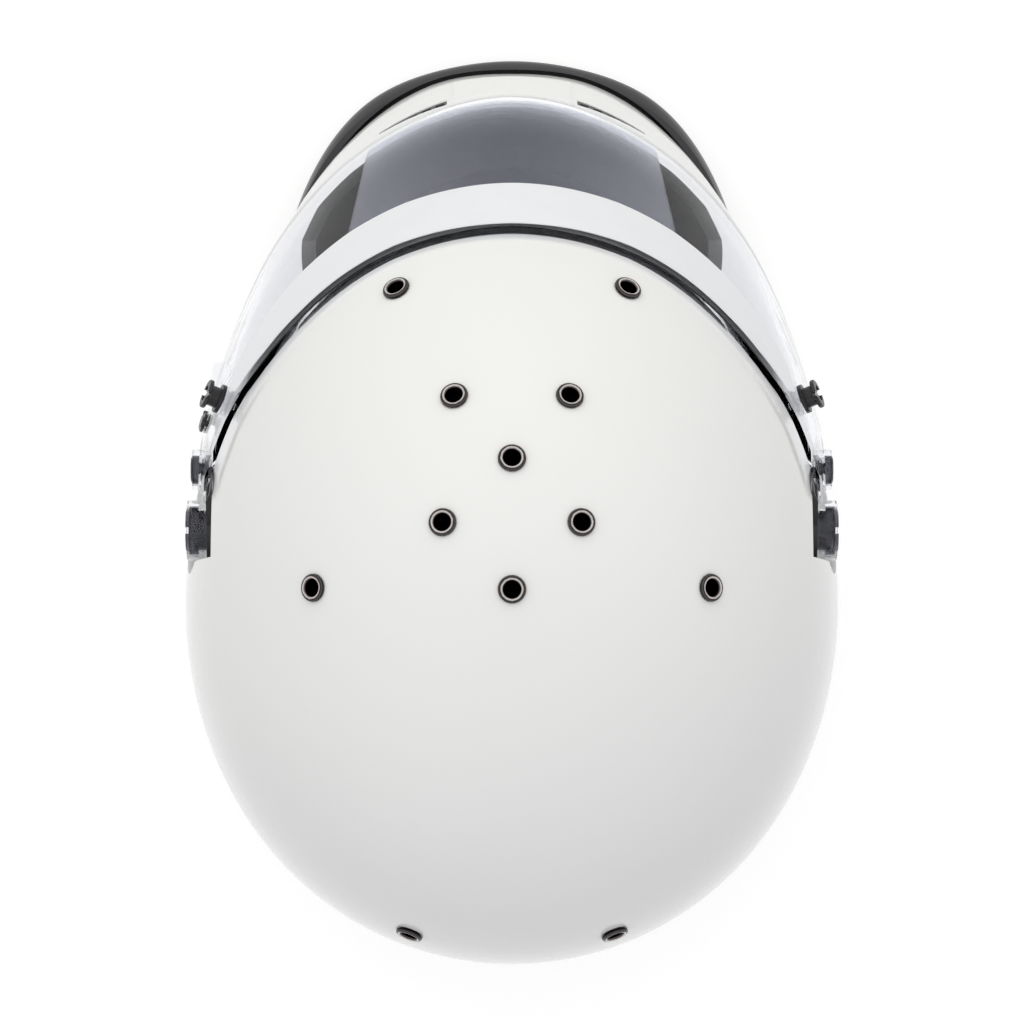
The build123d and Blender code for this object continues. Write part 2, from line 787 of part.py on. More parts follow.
def make_latch_lever(forms):
    """Thin lever that turns on its pin beside the tear-off post."""
    low, high = latch_gap, latch_gap + latch_thickness
    hub = stack_disc(latch_hub_radius, low, high)
    tip = Pos(-latch_length, 0, 0) * stack_disc(latch_tip_radius, low, high)
    corners = [
        (0, latch_hub_radius, low), (0, -latch_hub_radius, low),
        (-latch_length, -latch_tip_radius, low), (-latch_length, latch_tip_radius, low),
    ]
    arm = extrude(Face(Wire.make_polygon(corners, close=True)), amount=latch_thickness, dir=(0, 0, 1))
    bore = stack_disc(latch_pin_radius + running_clearance, 0, 2 * high)
    return latch_plane(forms) * (hub + tip + arm - bore)


def make_latch_pin(forms):
    """Headed pin of the latch lever, fixed in the visor."""
    top = latch_gap + latch_thickness + head_clearance
    shank = stack_disc(latch_pin_radius, -visor_thickness - latch_gap, top)
    head = stack_disc(latch_pin_head_radius, top, top + latch_pin_head_thickness)
    return latch_plane(forms) * (shank + head)


def latch_pin_bore(forms):
    """Bore in the visor for the latch pin."""
    return latch_plane(forms) * Cylinder(latch_pin_radius + rivet_fit, 4 * visor_thickness)


def catch_plane(forms):
    """Working plane of the latch catch on the shell."""
    return side_plane(forms["outer"], catch_y, catch_z)


def make_latch_catch(forms):
    """Stud on the shell just under the tip of the latch lever."""
    stud = stack_disc(catch_radius, -catch_depth, catch_height)
    stud = fillet(stud.edges().group_by(Axis.Z)[-1], post_fillet)
    return catch_plane(forms) * stud


def catch_bore(forms):
    """Blind bore in the shell for the latch catch."""
    depth = catch_depth + rivet_fit
    return catch_plane(forms) * stack_disc(catch_radius + rivet_fit, -depth, catch_height)


def make_crown_impact_liner(forms, vents):
    """Foam liner under the crown, the sides and the back (left half)."""
    depth = pocket_floor_plane - boss_floor - insert_flange_thickness - soft_gap
    cutters = [
        slab(-span, impact_liner_low),
        across_prism(liner_port_face(liner_port_margin)),
        block((-span, span), (-span, chin_liner_rear_y + soft_gap), (-span, shell_height / 2)),
        pocket_prism(boss_margin + soft_gap, depth),
    ]
    vent_bores = [
        plane * Cylinder(liner_vent_radius, 4 * impact_liner_depth) for plane in vents
    ]
    return forms["liner_outer"] - forms["impact_inner"] - cutters - vent_bores


def make_comfort_liner():
    """Fabric-covered liner inside the crown (left half)."""
    cover = layer(-impact_liner_depth - comfort_gap) - layer(-comfort_liner_depth)
    cutters = [
        slab(-span, comfort_liner_low),
        across_prism(liner_port_face(liner_port_margin + comfort_gap)),
    ]
    return cover - cutters


def make_chin_liner(forms):
    """Foam liner behind the chin bar (left half)."""
    cutters = [
        slab(-span, chin_liner_low),
        slab(chin_liner_high, span),
        y_slab(chin_liner_rear_y, span),
    ]
    return forms["liner_outer"] - layer(-chin_liner_depth) - cutters


def pad_face(front_y, rear_y, low, high, corner):
    """A rounded side view face for a pad."""
    corners = [(0, front_y, low), (0, rear_y, low), (0, rear_y, high), (0, front_y, high)]
    face = Face(Wire.make_polygon(corners, close=True))
    return face.fillet_2d(corner, face.vertices())


def make_cheek_pad():
    """Cheek pad on the wearer's left."""
    face = pad_face(
        cheek_pad_front_y, cheek_pad_rear_y, cheek_pad_low, cheek_pad_high, cheek_pad_round,
    )
    body = layer(-liner_outer_offset - soft_gap) - layer(-cheek_pad_depth)
    return body & side_prism(face, shell_half_width / 3, span)


def make_neck_roll():
    """Padded roll round the back of the neck opening (left half)."""
    face = pad_face(neck_roll_front_y, span, neck_roll_low, neck_roll_high, neck_roll_round)
    body = layer(-liner_outer_offset - soft_gap) - layer(-neck_roll_depth)
    return body & across_prism(face)


def strap_ribbon(forms, places_shares):
    """Flat webbing from the anchor down and inward (left side)."""
    plane = strap_plane(forms)
    seat = strap_seat + strap_thickness / 2
    centre = plane.from_local_coords((0, 0, -seat))
    upward = plane.y_dir if plane.y_dir.Z > 0 else -plane.y_dir
    top = centre + upward * strap_upper_length
    bottom = centre - upward * strap_lower_length
    places = [(x * shell_half_width, strap_y, z * shell_height) for x, z in places_shares]
    straight = Edge.make_line(top, bottom)
    curve = Edge.make_spline([bottom, *places], tangents=[-upward, Vector(-1, 0, 0)], scale=False)
    path = Wire([straight, curve])
    start = Plane(origin=top, x_dir=(0, 1, 0), z_dir=-upward)
    ribbon = sweep(start * Rectangle(strap_width, strap_thickness), path)
    return ribbon - rivet_bore(forms)


def stadium(half_spacing, radius):
    """A flat slot shape in the XZ plane, extruded over the strap's width."""
    shape = Plane.XZ * SlotCenterToCenter(2 * half_spacing, 2 * radius)
    place = Pos(ring_bar_x, strap_y + strap_width / 2, ring_bar_z)
    return place * extrude(shape, amount=strap_width)


def make_short_strap(forms):
    """Short webbing with the loop that holds the rings (left side, mirrored later)."""
    inner_radius = ring_wire / 2 + ring_loop_clearance
    outer_radius = inner_radius + strap_thickness
    half_spacing = ring_spacing / 2
    loop_end = ring_bar_x + half_spacing + outer_radius - strap_thickness / 2
    shares = (*short_strap_places_shares, (loop_end / shell_half_width, ring_bar_z / shell_height))
    ribbon = strap_ribbon(forms, shares)
    cavity = stadium(half_spacing, inner_radius)
    return ribbon + stadium(half_spacing, outer_radius) - cavity


def make_ring(bar_x):
    """One strap ring hanging from its straight bar (left side, mirrored later)."""
    outer = ring_outline(ring_half_length, ring_reach, ring_corner)
    inner = ring_outline(ring_half_length - ring_wire, ring_reach - 2 * ring_wire, ring_corner / 2)
    ring = extrude(outer, amount=ring_wire / 2, both=True)
    ring = ring - extrude(Pos(0, -ring_wire, 0) * inner, amount=ring_wire, both=True)
    stand = Plane(
        origin=(bar_x, strap_y, ring_bar_z + ring_wire / 2), x_dir=(0, 1, 0), z_dir=(1, 0, 0),
    )
    return stand * ring


def ring_outline(half_length, reach, corner):
    """A half-round outline below a straight bar."""
    left, right = (-half_length, 0, 0), (half_length, 0, 0)
    bar = Edge.make_line(left, right)
    bow = Edge.make_three_point_arc(right, (0, -reach, 0), left)
    face = Face(Wire([bar, bow]))
    return face.fillet_2d(corner, face.vertices())


def make_rivet(forms):
    """Rivet of the chin strap (left side)."""
    tail_start = -strap_seat - strap_thickness - anchor_plate_thickness - 2 * rivet_fit
    head = stack_disc(rivet_head_radius, rivet_rise, rivet_rise + rivet_head_thickness)
    head = fillet(head.edges().group_by(Axis.Z)[-1], rivet_head_thickness / 2)
    shank = stack_disc(rivet_shank_radius, tail_start, rivet_rise)
    tail = stack_disc(rivet_tail_radius, tail_start - rivet_tail_thickness, tail_start)
    return strap_plane(forms) * (head + shank + tail)


def make_anchor_plate(forms):
    """Steel plate between the strap and the tail of the rivet (left side)."""
    high = -strap_seat - strap_thickness - rivet_fit
    plate = RectangleRounded(anchor_plate_width, anchor_plate_height, anchor_plate_corner)
    plate = Pos(0, 0, high - anchor_plate_thickness) * extrude(plate, amount=anchor_plate_thickness)
    return strap_plane(forms) * plate - rivet_bore(forms)


def keep(name, shape):
    """Write one node, as one solid or as a group of separate solids."""
    solids = shape.solids()
    node = solids[0] if len(solids) == 1 else Compound(solids)
    export_step(node, f"parts/{name}.step")


def keep_pair(name, left):
    """Write a left piece and its mirror image as two nodes."""
    keep(f"{name}_left", left)
    keep(f"{name}_right", mirrored(left))


def keep_group(name, shapes):
    """Write identical small pieces as one node of separate solids."""
    keep(name, Compound([solid for shape in shapes for solid in shape.solids()]))


def make_forms():
    """The layers that several pieces share (left halves)."""
    visor_outer = visor_inner_offset + visor_thickness
    return {
        "outer": layer(0),
        "inner": layer(-shell_thickness),
        "trim_outer": layer(trim_outer_offset),
        "channel_inner": layer(-shell_thickness - trim_inner_offset),
        "visor_outer": layer(visor_outer),
        "visor_inner": layer(visor_inner_offset),
        "liner_outer": layer(-liner_outer_offset),
        "impact_inner": layer(-impact_liner_depth),
    }


def main():
    """Build every piece and write one file for each node."""
    os.makedirs("parts", exist_ok=True)
    forms = make_forms()
    paired = [surface_plane(forms["outer"], x, y) for x, y in paired_vent_places()]
    middle = middle_vent_planes(forms["outer"])
    vents = paired + middle

    keep("outer_shell", whole(make_shell(forms, vents)) - catch_bore(forms))
    keep("base_edge_trim", whole(make_trim(forms)))
    keep("chin_lip", whole(make_lip()))
    keep("eyeport_gasket", whole(make_gasket(forms)))
    crown = [eyelet(plane) for plane in paired[:-1]]
    rear = eyelet(paired[-1])
    crown_right = [mirrored(one) for one in crown]
    keep_group("crown_vent_eyelets", crown + crown_right + [eyelet(one) for one in middle])
    keep_group("rear_vent_eyelets", [rear, mirrored(rear)])
    chin_insert = make_chin_vent_insert(forms)
    keep_group("chin_vent_inserts", [chin_insert, mirrored(chin_insert)])

    keep("crown_impact_liner", whole(make_crown_impact_liner(forms, vents)))
    keep("chin_bar_impact_liner", whole(make_chin_liner(forms)))
    keep("crown_comfort_liner", whole(make_comfort_liner()))
    keep_pair("cheek_pad", make_cheek_pad())
    keep("neck_roll", whole(make_neck_roll()))

    keep("visor_shield", whole(make_visor(forms)) - latch_pin_bore(forms))
    keep("visor_sun_strip", whole(make_strip()))
    keep("anti_fog_lens", whole(make_lens()))
    keep_pair("visor_base_plate", make_base_plate())
    keep_pair("visor_pivot_screw", make_pivot_screw())
    keep_pair("visor_pivot_insert", make_pivot_insert())
    keep_pair("visor_guide_screw", make_guide_screw())
    keep_pair("tear_off_post", make_post(forms))
    post_screw = make_post_screw(forms)
    keep_group("tear_off_post_screws", [post_screw, mirrored(post_screw)])
    keep("visor_lift_tab", make_tab())
    keep("visor_latch_lever", make_latch_lever(forms))
    keep("visor_latch_pin", make_latch_pin(forms))
    keep("visor_latch_catch", make_latch_catch(forms))

    keep("chin_strap_long", strap_ribbon(forms, long_strap_places_shares))
    keep("chin_strap_short", mirrored(make_short_strap(forms)))
    keep("strap_ring_outer", mirrored(make_ring(ring_bar_x + ring_spacing / 2)))
    keep("strap_ring_inner", mirrored(make_ring(ring_bar_x - ring_spacing / 2)))
    rivet = make_rivet(forms)
    keep_group("strap_rivets", [rivet, mirrored(rivet)])
    plate = make_anchor_plate(forms)
    keep_group("strap_anchor_plates", [plate, mirrored(plate)])


if __name__ == "__main__":
    main()
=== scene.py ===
"""Auto racing helmet: finishes, soft pieces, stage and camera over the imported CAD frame."""

import logging
import math
from dataclasses import dataclass, field
from enum import Enum

import bmesh
import bpy
import numpy
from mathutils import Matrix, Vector
from mathutils.bvhtree import BVHTree


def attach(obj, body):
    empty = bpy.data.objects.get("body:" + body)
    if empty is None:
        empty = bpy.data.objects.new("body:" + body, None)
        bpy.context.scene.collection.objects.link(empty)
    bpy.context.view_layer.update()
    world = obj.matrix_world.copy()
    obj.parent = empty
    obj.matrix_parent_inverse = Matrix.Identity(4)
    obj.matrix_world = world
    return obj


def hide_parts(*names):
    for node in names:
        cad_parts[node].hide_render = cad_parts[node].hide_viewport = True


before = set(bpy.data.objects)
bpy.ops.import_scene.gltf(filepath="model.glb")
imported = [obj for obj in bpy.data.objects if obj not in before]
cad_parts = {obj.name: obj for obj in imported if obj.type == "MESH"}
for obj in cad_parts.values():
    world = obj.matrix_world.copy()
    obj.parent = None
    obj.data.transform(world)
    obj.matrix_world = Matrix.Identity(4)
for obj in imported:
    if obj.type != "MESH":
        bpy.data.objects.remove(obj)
LOG = logging.getLogger("helmet")
# A wave texture of scale 1 has this many bands to the metre.
BANDS_AT_SCALE_ONE = 20


def srgb(code: str) -> tuple[float, float, float, float]:
    """Turns an sRGB hex colour into linear light.

    Args:
        code: six hex digits, with or without a leading hash.

    Returns:
        Linear red, green, blue and an alpha of 1.
    """
    digits = code.lstrip("#")
    channels = []
    for index in range(3):
        value = int(digits[2 * index:2 * index + 2], 16) / 255
        channels.append(value / 12.92 if value <= 0.04045 else ((value + 0.055) / 1.055) ** 2.4)
    return (channels[0], channels[1], channels[2], 1.0)


def node(tree: bpy.types.NodeTree, kind: str, inputs: dict | None = None, **settings) -> bpy.types.Node:
    """Adds one shader node.

    Args:
        tree: the node tree that gets the node.
        kind: the node's type name.
        inputs: values or source sockets by input name.
        settings: properties of the node.

    Returns:
        The new node.
    """
    made = tree.nodes.new(kind)
    for name, value in settings.items():
        setattr(made, name, value)
    for name, value in (inputs or {}).items():
        if isinstance(value, bpy.types.NodeSocket):
            tree.links.new(value, made.inputs[name])
        else:
            made.inputs[name].default_value = value
    return made


def calculate(tree: bpy.types.NodeTree, operation: str, *values) -> bpy.types.NodeSocket:
    """Adds one math node.

    Args:
        tree: the node tree that gets the node.
        operation: the sum.
        values: numbers or source sockets.

    Returns:
        The result.
    """
    return node(tree, "ShaderNodeMath", dict(enumerate(values)), operation=operation).outputs[0]


@dataclass
class Surface:
    """A material being built: its tree, its shader and its object coordinates."""

    material: bpy.types.Material
    tree: bpy.types.NodeTree
    shader: bpy.types.Node
    place: bpy.types.NodeSocket

    @classmethod
    def start(cls, name: str) -> "Surface":
        """Starts a material with one Principled shader.

        Args:
            name: the material's name.

        Returns:
            The surface, ready for more nodes.
        """
        material = bpy.data.materials.new(name)
        material.use_nodes = True
        tree = material.node_tree
        tree.nodes.clear()
        shader = node(tree, "ShaderNodeBsdfPrincipled")
        output = node(tree, "ShaderNodeOutputMaterial")
        tree.links.new(shader.outputs["BSDF"], output.inputs["Surface"])
        coordinates = node(tree, "ShaderNodeTexCoord")
        return cls(material, tree, shader, coordinates.outputs["Object"])

    def set(self, **values) -> None:
        """Sets or links inputs of the shader.

        Args:
            values: input names with underscores for spaces, and their values or sockets.
        """
        for name, value in values.items():
            socket = self.shader.inputs[name.replace("_", " ")]
            if isinstance(value, bpy.types.NodeSocket):
                self.tree.links.new(value, socket)
            else:
                socket.default_value = value

    def noise(self, size: float, detail: float = 2.0, roughness: float = 0.5) -> bpy.types.NodeSocket:
        """Noise with features of a real size.

        Args:
            size: the size of one feature, in metres.
            detail: the number of octaves.
            roughness: how strong the fine octaves are.

        Returns:
            The noise value.
        """
        made = node(
            self.tree, "ShaderNodeTexNoise",
            {"Vector": self.place, "Scale": 1 / size, "Detail": detail, "Roughness": roughness},
        )
        return made.outputs["Fac"]

    def ramp(self, value: bpy.types.NodeSocket, low: float, high: float) -> bpy.types.NodeSocket:
        """Maps a 0 to 1 value to a range.

        Args:
            value: the value.
            low: the result at 0.
            high: the result at 1.

        Returns:
            The mapped value.
        """
        made = node(self.tree, "ShaderNodeMapRange", {"Value": value, "To Min": low, "To Max": high})
        return made.outputs["Result"]

    def mix(self, value: bpy.types.NodeSocket, first: str, second: str) -> bpy.types.NodeSocket:
        """Mixes two sRGB colours by a value.

        Args:
            value: the mixing value.
            first: the colour at 0.
            second: the colour at 1.

        Returns:
            The mixed colour.
        """
        made = node(self.tree, "ShaderNodeMix", data_type="RGBA")
        self.tree.links.new(value, made.inputs[0])
        made.inputs[6].default_value = srgb(first)
        made.inputs[7].default_value = srgb(second)
        return made.outputs[2]

    def bump(self, height: bpy.types.NodeSocket, depth: float, strength: float = 1.0) -> None:
        """Adds a bump of a real depth.

        Args:
            height: the height pattern, 0 to 1.
            depth: the depth in metres.
            strength: how much of the bump shows.
        """
        values = {"Height": height, "Distance": depth, "Strength": strength}
        made = node(self.tree, "ShaderNodeBump", values)
        if self.shader.inputs["Normal"].is_linked:
            self.tree.links.new(self.shader.inputs["Normal"].links[0].from_socket, made.inputs["Normal"])
        self.tree.links.new(made.outputs["Normal"], self.shader.inputs["Normal"])


@dataclass(frozen=True)
class SprayedLacquer:
    """Sprayed white gloss lacquer, polished: soft mirror reflections with a trace of orange peel.

    The cut edge of the eyeport, whose faces are square to the side view, is painted black as painted
    shade, so the opening reads as dark as its depth. The box port_low to port_high, as (y, z), holds that
    edge.
    """

    name: str = "sprayed_white_lacquer"
    light: str = "F6F6F4"
    shade: str = "F1F1F0"
    # Painted shade: the black put on the eyeport's cut edge.
    edge_painted_shade: str = "101011"
    cloud_size: float = 0.09
    peel_size: float = 0.0028
    peel_depth: float = 0.000004
    roughness: float = 0.22
    reflection: float = 0.12
    coat: float = 0.6
    coat_roughness: float = 0.035
    coat_ior: float = 1.3
    port_low: tuple[float, float] = (-0.175, 0.088)
    port_high: tuple[float, float] = (-0.055, 0.190)
    square_limit: float = 0.02
    level_limit: float = 0.9
    middle_half_width: float = 0.030

    def edge(self, surface: Surface) -> bpy.types.NodeSocket:
        """Finds the cut edge of the eyeport.

        Args:
            surface: the surface being built.

        Returns:
            1 on the cut edge, 0 elsewhere.
        """
        tree = surface.tree
        coordinates = node(tree, "ShaderNodeTexCoord")
        normal = node(tree, "ShaderNodeSeparateXYZ", {"Vector": coordinates.outputs["Normal"]}).outputs
        place = node(tree, "ShaderNodeSeparateXYZ", {"Vector": surface.place}).outputs
        square = calculate(tree, "LESS_THAN", calculate(tree, "ABSOLUTE", normal["X"]), self.square_limit)
        level = calculate(tree, "GREATER_THAN", normal["Z"], self.level_limit)
        width = calculate(tree, "ABSOLUTE", place["X"])
        beside = calculate(tree, "GREATER_THAN", width, self.middle_half_width)
        found = calculate(tree, "MULTIPLY", square, calculate(tree, "MAXIMUM", level, beside))
        for axis, low, high in zip("YZ", self.port_low, self.port_high):
            above = calculate(tree, "GREATER_THAN", place[axis], low)
            below = calculate(tree, "LESS_THAN", place[axis], high)
            found = calculate(tree, "MULTIPLY", found, calculate(tree, "MULTIPLY", above, below))
        return found

    def build(self) -> bpy.types.Material:
        """Builds the material.

        Returns:
            The material.
        """
        surface = Surface.start(self.name)
        surface.set(Roughness=self.roughness, Specular_IOR_Level=self.reflection)
        surface.set(Coat_Roughness=self.coat_roughness, Coat_IOR=self.coat_ior)
        lacquer = surface.mix(surface.noise(self.cloud_size, 1.0), self.light, self.shade)
        # The cut edge of the eyeport is painted black and loses its coat: painted shade for the depth of the
        # opening.
        edge = self.edge(surface)
        paint = node(surface.tree, "ShaderNodeMix", {0: edge}, data_type="RGBA")
        surface.tree.links.new(lacquer, paint.inputs[6])
        paint.inputs[7].default_value = srgb(self.edge_painted_shade)
        surface.set(Base_Color=paint.outputs[2], Coat_Weight=surface.ramp(edge, self.coat, 0.0))
        surface.bump(surface.noise(self.peel_size, 1.0), self.peel_depth)
        return surface.material


@dataclass(frozen=True)
class MouldedRubber:
    """Compression-moulded black rubber: a matt skin with fine pores and pale wear."""

    name: str = "moulded_black_rubber"
    dark: str = "0E0E0F"
    worn: str = "1D1D1F"
    roughness: float = 0.62
    roughness_spread: float = 0.08
    cloud_size: float = 0.006
    wear_size: float = 0.004
    pore_size: float = 0.0004
    pore_depth: float = 0.00003

    def build(self) -> bpy.types.Material:
        """Builds the material.

        Returns:
            The material.
        """
        surface = Surface.start(self.name)
        surface.set(Base_Color=surface.mix(surface.noise(self.cloud_size, 3.0), self.dark, self.worn))
        smooth, rough = self.roughness - self.roughness_spread, self.roughness + self.roughness_spread
        surface.set(Roughness=surface.ramp(surface.noise(self.wear_size), smooth, rough))
        surface.bump(surface.noise(self.pore_size), self.pore_depth)
        return surface.material


@dataclass(frozen=True)
class MouldedPlastic:
    """Injection-moulded plastic: the grain of an eroded tool breaks up a satin or glossy skin."""

    name: str
    dark: str
    light: str
    roughness: float
    grain_depth: float = 0.000012
    grain_size: float = 0.0006
    cloud_size: float = 0.012
    wear_size: float = 0.003
    rubbed: float = 0.04
    dulled: float = 0.05

    def build(self) -> bpy.types.Material:
        """Builds the material.

        Returns:
            The material.
        """
        surface = Surface.start(self.name)
        surface.set(Base_Color=surface.mix(surface.noise(self.cloud_size), self.dark, self.light))
        smooth, rough = self.roughness - self.rubbed, self.roughness + self.dulled
        surface.set(Roughness=surface.ramp(surface.noise(self.wear_size), smooth, rough))
        surface.bump(surface.noise(self.grain_size, 1.0), self.grain_depth)
        return surface.material


@dataclass(frozen=True)
class TurnedMetal:
    """Turned or pressed metal: bright where it is rubbed, with fine tool marks."""

    name: str
    colour: str
    worn: str
    roughness: float
    rub_size: float = 0.003
    wear_size: float = 0.0015
    rubbed: float = 0.07
    dulled: float = 0.09
    mark_size: float = 0.0003
    mark_depth: float = 0.000006

    def build(self) -> bpy.types.Material:
        """Builds the material.

        Returns:
            The material.
        """
        surface = Surface.start(self.name)
        surface.set(Metallic=1.0)
        surface.set(Base_Color=surface.mix(surface.noise(self.rub_size, 3.0), self.colour, self.worn))
        smooth, rough = self.roughness - self.rubbed, self.roughness + self.dulled
        surface.set(Roughness=surface.ramp(surface.noise(self.wear_size, 3.0), smooth, rough))
        surface.bump(surface.noise(self.mark_size, 1.0), self.mark_depth)
        return surface.material


@dataclass(frozen=True)
class PlatedRim:
    """Pressed and dark-plated eyelet: colour bands across the rolled rim are painted reflection, with a
    painted highlight on its rolled top and the dark plating on its flanks.

    The attribute runs from 0 at the foot of the rim to 1 in its throat.
    """

    name: str = "pressed_plated_rim"
    flank: str = "1B191B"
    middle: str = "555050"
    crest_painted_highlight: str = "D2CCC8"
    throat: str = "4A4546"
    roughness: float = 0.2
    rubbed: float = 0.06
    dulled: float = 0.1
    wear_size: float = 0.0015
    fray_size: float = 0.0012
    fray: float = 0.06
    attribute: str = "rim_share"

    def build(self) -> bpy.types.Material:
        """Builds the material.

        Returns:
            The material.
        """
        surface = Surface.start(self.name)
        share = node(surface.tree, "ShaderNodeAttribute", attribute_name=self.attribute)
        # The share across the rim, jittered by noise, places the bands of painted reflection and the painted
        # highlight on the rolled top.
        frayed = surface.ramp(surface.noise(self.fray_size, 3.0), -self.fray, self.fray)
        worn = calculate(surface.tree, "ADD", frayed, share.outputs["Fac"])
        band = node(surface.tree, "ShaderNodeValToRGB", {"Fac": worn})
        stops = band.color_ramp.elements
        stops[0].position, stops[0].color = 0.16, srgb(self.flank)
        stops[1].position, stops[1].color = 1.0, srgb(self.throat)
        # The bright stop is a painted highlight on the rolled top; the dark and mid stops around it are
        # painted reflection over the dark plating.
        between = ((0.34, self.middle), (0.50, self.flank), (0.64, self.crest_painted_highlight), (0.78, self.middle))
        for position, colour in between:
            stops.new(position).color = srgb(colour)
        surface.set(Metallic=1.0, Base_Color=band.outputs["Color"])
        smooth, rough = self.roughness - self.rubbed, self.roughness + self.dulled
        surface.set(Roughness=surface.ramp(surface.noise(self.wear_size, 3.0), smooth, rough))
        return surface.material


@dataclass(frozen=True)
class ClearSheet:
    """Moulded polycarbonate: clear with a hard coat, and a trace of tint through its depth.

    Its index is low because the anti-reflective coat of such a sheet hides most of the reflection.
    """

    name: str
    tint: str
    roughness: float = 0.02
    ior: float = 1.085
    sheen: str = "FFFFFF"
    haze_size: float = 0.02
    clearest: float = 0.6
    haziest: float = 1.6

    def build(self) -> bpy.types.Material:
        """Builds the material.

        Returns:
            The material.
        """
        surface = Surface.start(self.name)
        surface.set(Base_Color=srgb(self.tint), Transmission_Weight=1.0, IOR=self.ior)
        surface.set(Specular_Tint=srgb(self.sheen))
        smooth, rough = self.roughness * self.clearest, self.roughness * self.haziest
        surface.set(Roughness=surface.ramp(surface.noise(self.haze_size), smooth, rough))
        return surface.material


@dataclass(frozen=True)
class BeadFoam:
    """Steam-moulded bead foam: pressed round beads a few millimetres across, dull and dark."""

    name: str = "moulded_bead_foam"
    dark: str = "19191B"
    light: str = "2B2B2E"
    bead: float = 0.0035
    roughness: float = 0.75
    groove_depth: float = 0.0002

    def build(self) -> bpy.types.Material:
        """Builds the material.

        Returns:
            The material.
        """
        surface = Surface.start(self.name)
        cells = node(surface.tree, "ShaderNodeTexVoronoi", {"Vector": surface.place, "Scale": 1 / self.bead})
        reach = cells.outputs["Distance"]
        surface.set(Base_Color=surface.mix(reach, self.light, self.dark), Roughness=self.roughness)
        surface.bump(surface.ramp(reach, 1.0, 0.0), self.groove_depth)
        return surface.material


@dataclass(frozen=True)
class KnitFabric:
    """Warp-knitted lining fabric over foam: rows of small loops with a soft sheen."""

    name: str = "knitted_lining_fabric"
    dark: str = "121214"
    light: str = "2C2C30"
    pitch: float = 0.0012
    waver: float = 1.5
    roughness: float = 0.85
    sheen: float = 0.35
    sheen_roughness: float = 0.5
    loop_depth: float = 0.00025
    loop_strength: float = 0.6

    def build(self) -> bpy.types.Material:
        """Builds the material.

        Returns:
            The material.
        """
        surface = Surface.start(self.name)
        scale = 1 / (BANDS_AT_SCALE_ONE * self.pitch)
        values = {"Vector": surface.place, "Scale": scale, "Distortion": self.waver}
        wave_x, wave_y, wave_z = (
            node(surface.tree, "ShaderNodeTexWave", values, bands_direction=direction).outputs["Fac"]
            for direction in "XYZ"
        )
        loops = calculate(surface.tree, "ADD", calculate(surface.tree, "MULTIPLY", wave_x, wave_y), wave_z)
        surface.set(Base_Color=surface.mix(loops, self.dark, self.light), Roughness=self.roughness)
        surface.set(Sheen_Weight=self.sheen, Sheen_Roughness=self.sheen_roughness)
        surface.bump(loops, self.loop_depth, self.loop_strength)
        return surface.material


@dataclass(frozen=True)
class WovenWebbing:
    """Woven polyester webbing: diagonal ribs across the strap and a faint gloss."""

    name: str = "woven_polyester_webbing"
    dark: str = "0F0F11"
    light: str = "27272B"
    rib: float = 0.0018
    waver: float = 0.6
    roughness: float = 0.7
    sheen: float = 0.2
    rib_depth: float = 0.0003
    rib_strength: float = 0.7

    def build(self) -> bpy.types.Material:
        """Builds the material.

        Returns:
            The material.
        """
        surface = Surface.start(self.name)
        scale = 1 / (BANDS_AT_SCALE_ONE * self.rib)
        values = {"Vector": surface.place, "Scale": scale, "Distortion": self.waver}
        ribs = node(surface.tree, "ShaderNodeTexWave", values, bands_direction="DIAGONAL").outputs["Fac"]
        surface.set(Base_Color=surface.mix(ribs, self.dark, self.light), Roughness=self.roughness)
        surface.set(Sheen_Weight=self.sheen)
        surface.bump(ribs, self.rib_depth, self.rib_strength)
        return surface.material


class Finish(Enum):
    """Every finish of the helmet."""

    SHELL = SprayedLacquer()
    RUBBER = MouldedRubber()
    BLACK_PLASTIC = MouldedPlastic("moulded_black_plastic", "141416", "232326", 0.38)
    LIP_PLASTIC = MouldedPlastic("gloss_black_plastic", "252527", "2D2D30", 0.24)
    EYELET = PlatedRim()
    SMOKED = ClearSheet("smoked_polycarbonate_knob", "4C4C52", roughness=0.05, ior=1.4)
    GUNMETAL = TurnedMetal("dark_plated_steel", "4A4A4E", "77777C", 0.3)
    BRIGHT_STEEL = TurnedMetal("plain_steel", "9FA1A6", "C4C6CA", 0.28)
    BRASS = TurnedMetal("turned_brass", "B08D4A", "C9A860", 0.3)
    CLEAR = ClearSheet("moulded_clear_polycarbonate", "F4F5F8")
    LENS = ClearSheet("clear_inner_lens_sheet", "CCD0E2", roughness=0.03, ior=1.38, sheen="DEDEFF")
    FOAM = BeadFoam()
    FABRIC = KnitFabric()
    WEBBING = WovenWebbing()
    STRIP = MouldedPlastic("gloss_white_film", "EDEEF2", "F2F3F6", 0.18, grain_depth=0.000003)


@dataclass
class Wardrobe:
    """Builds each finish once and hands it out."""

    made: dict = field(default_factory=dict)

    def get(self, finish: Finish) -> bpy.types.Material:
        """Gives the material of a finish.

        Args:
            finish: the finish.

        Returns:
            Its material.
        """
        if finish not in self.made:
            self.made[finish] = finish.value.build()
        return self.made[finish]

    def dress(self, piece: bpy.types.Object, finish: Finish) -> None:
        """Puts one finish on a piece.

        Args:
            piece: the mesh object.
            finish: the finish.
        """
        material = self.get(finish)
        if not piece.material_slots:
            piece.data.materials.append(material)
        for one in piece.material_slots:
            one.material = material

    def dress_nodes(self, finish: Finish, *names: str) -> None:
        """Puts one finish on CAD nodes.

        Args:
            finish: the finish.
            names: the nodes.
        """
        for name in names:
            self.dress(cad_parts[name], finish)
            LOG.info("dressed %s in %s", name, finish.value.name)


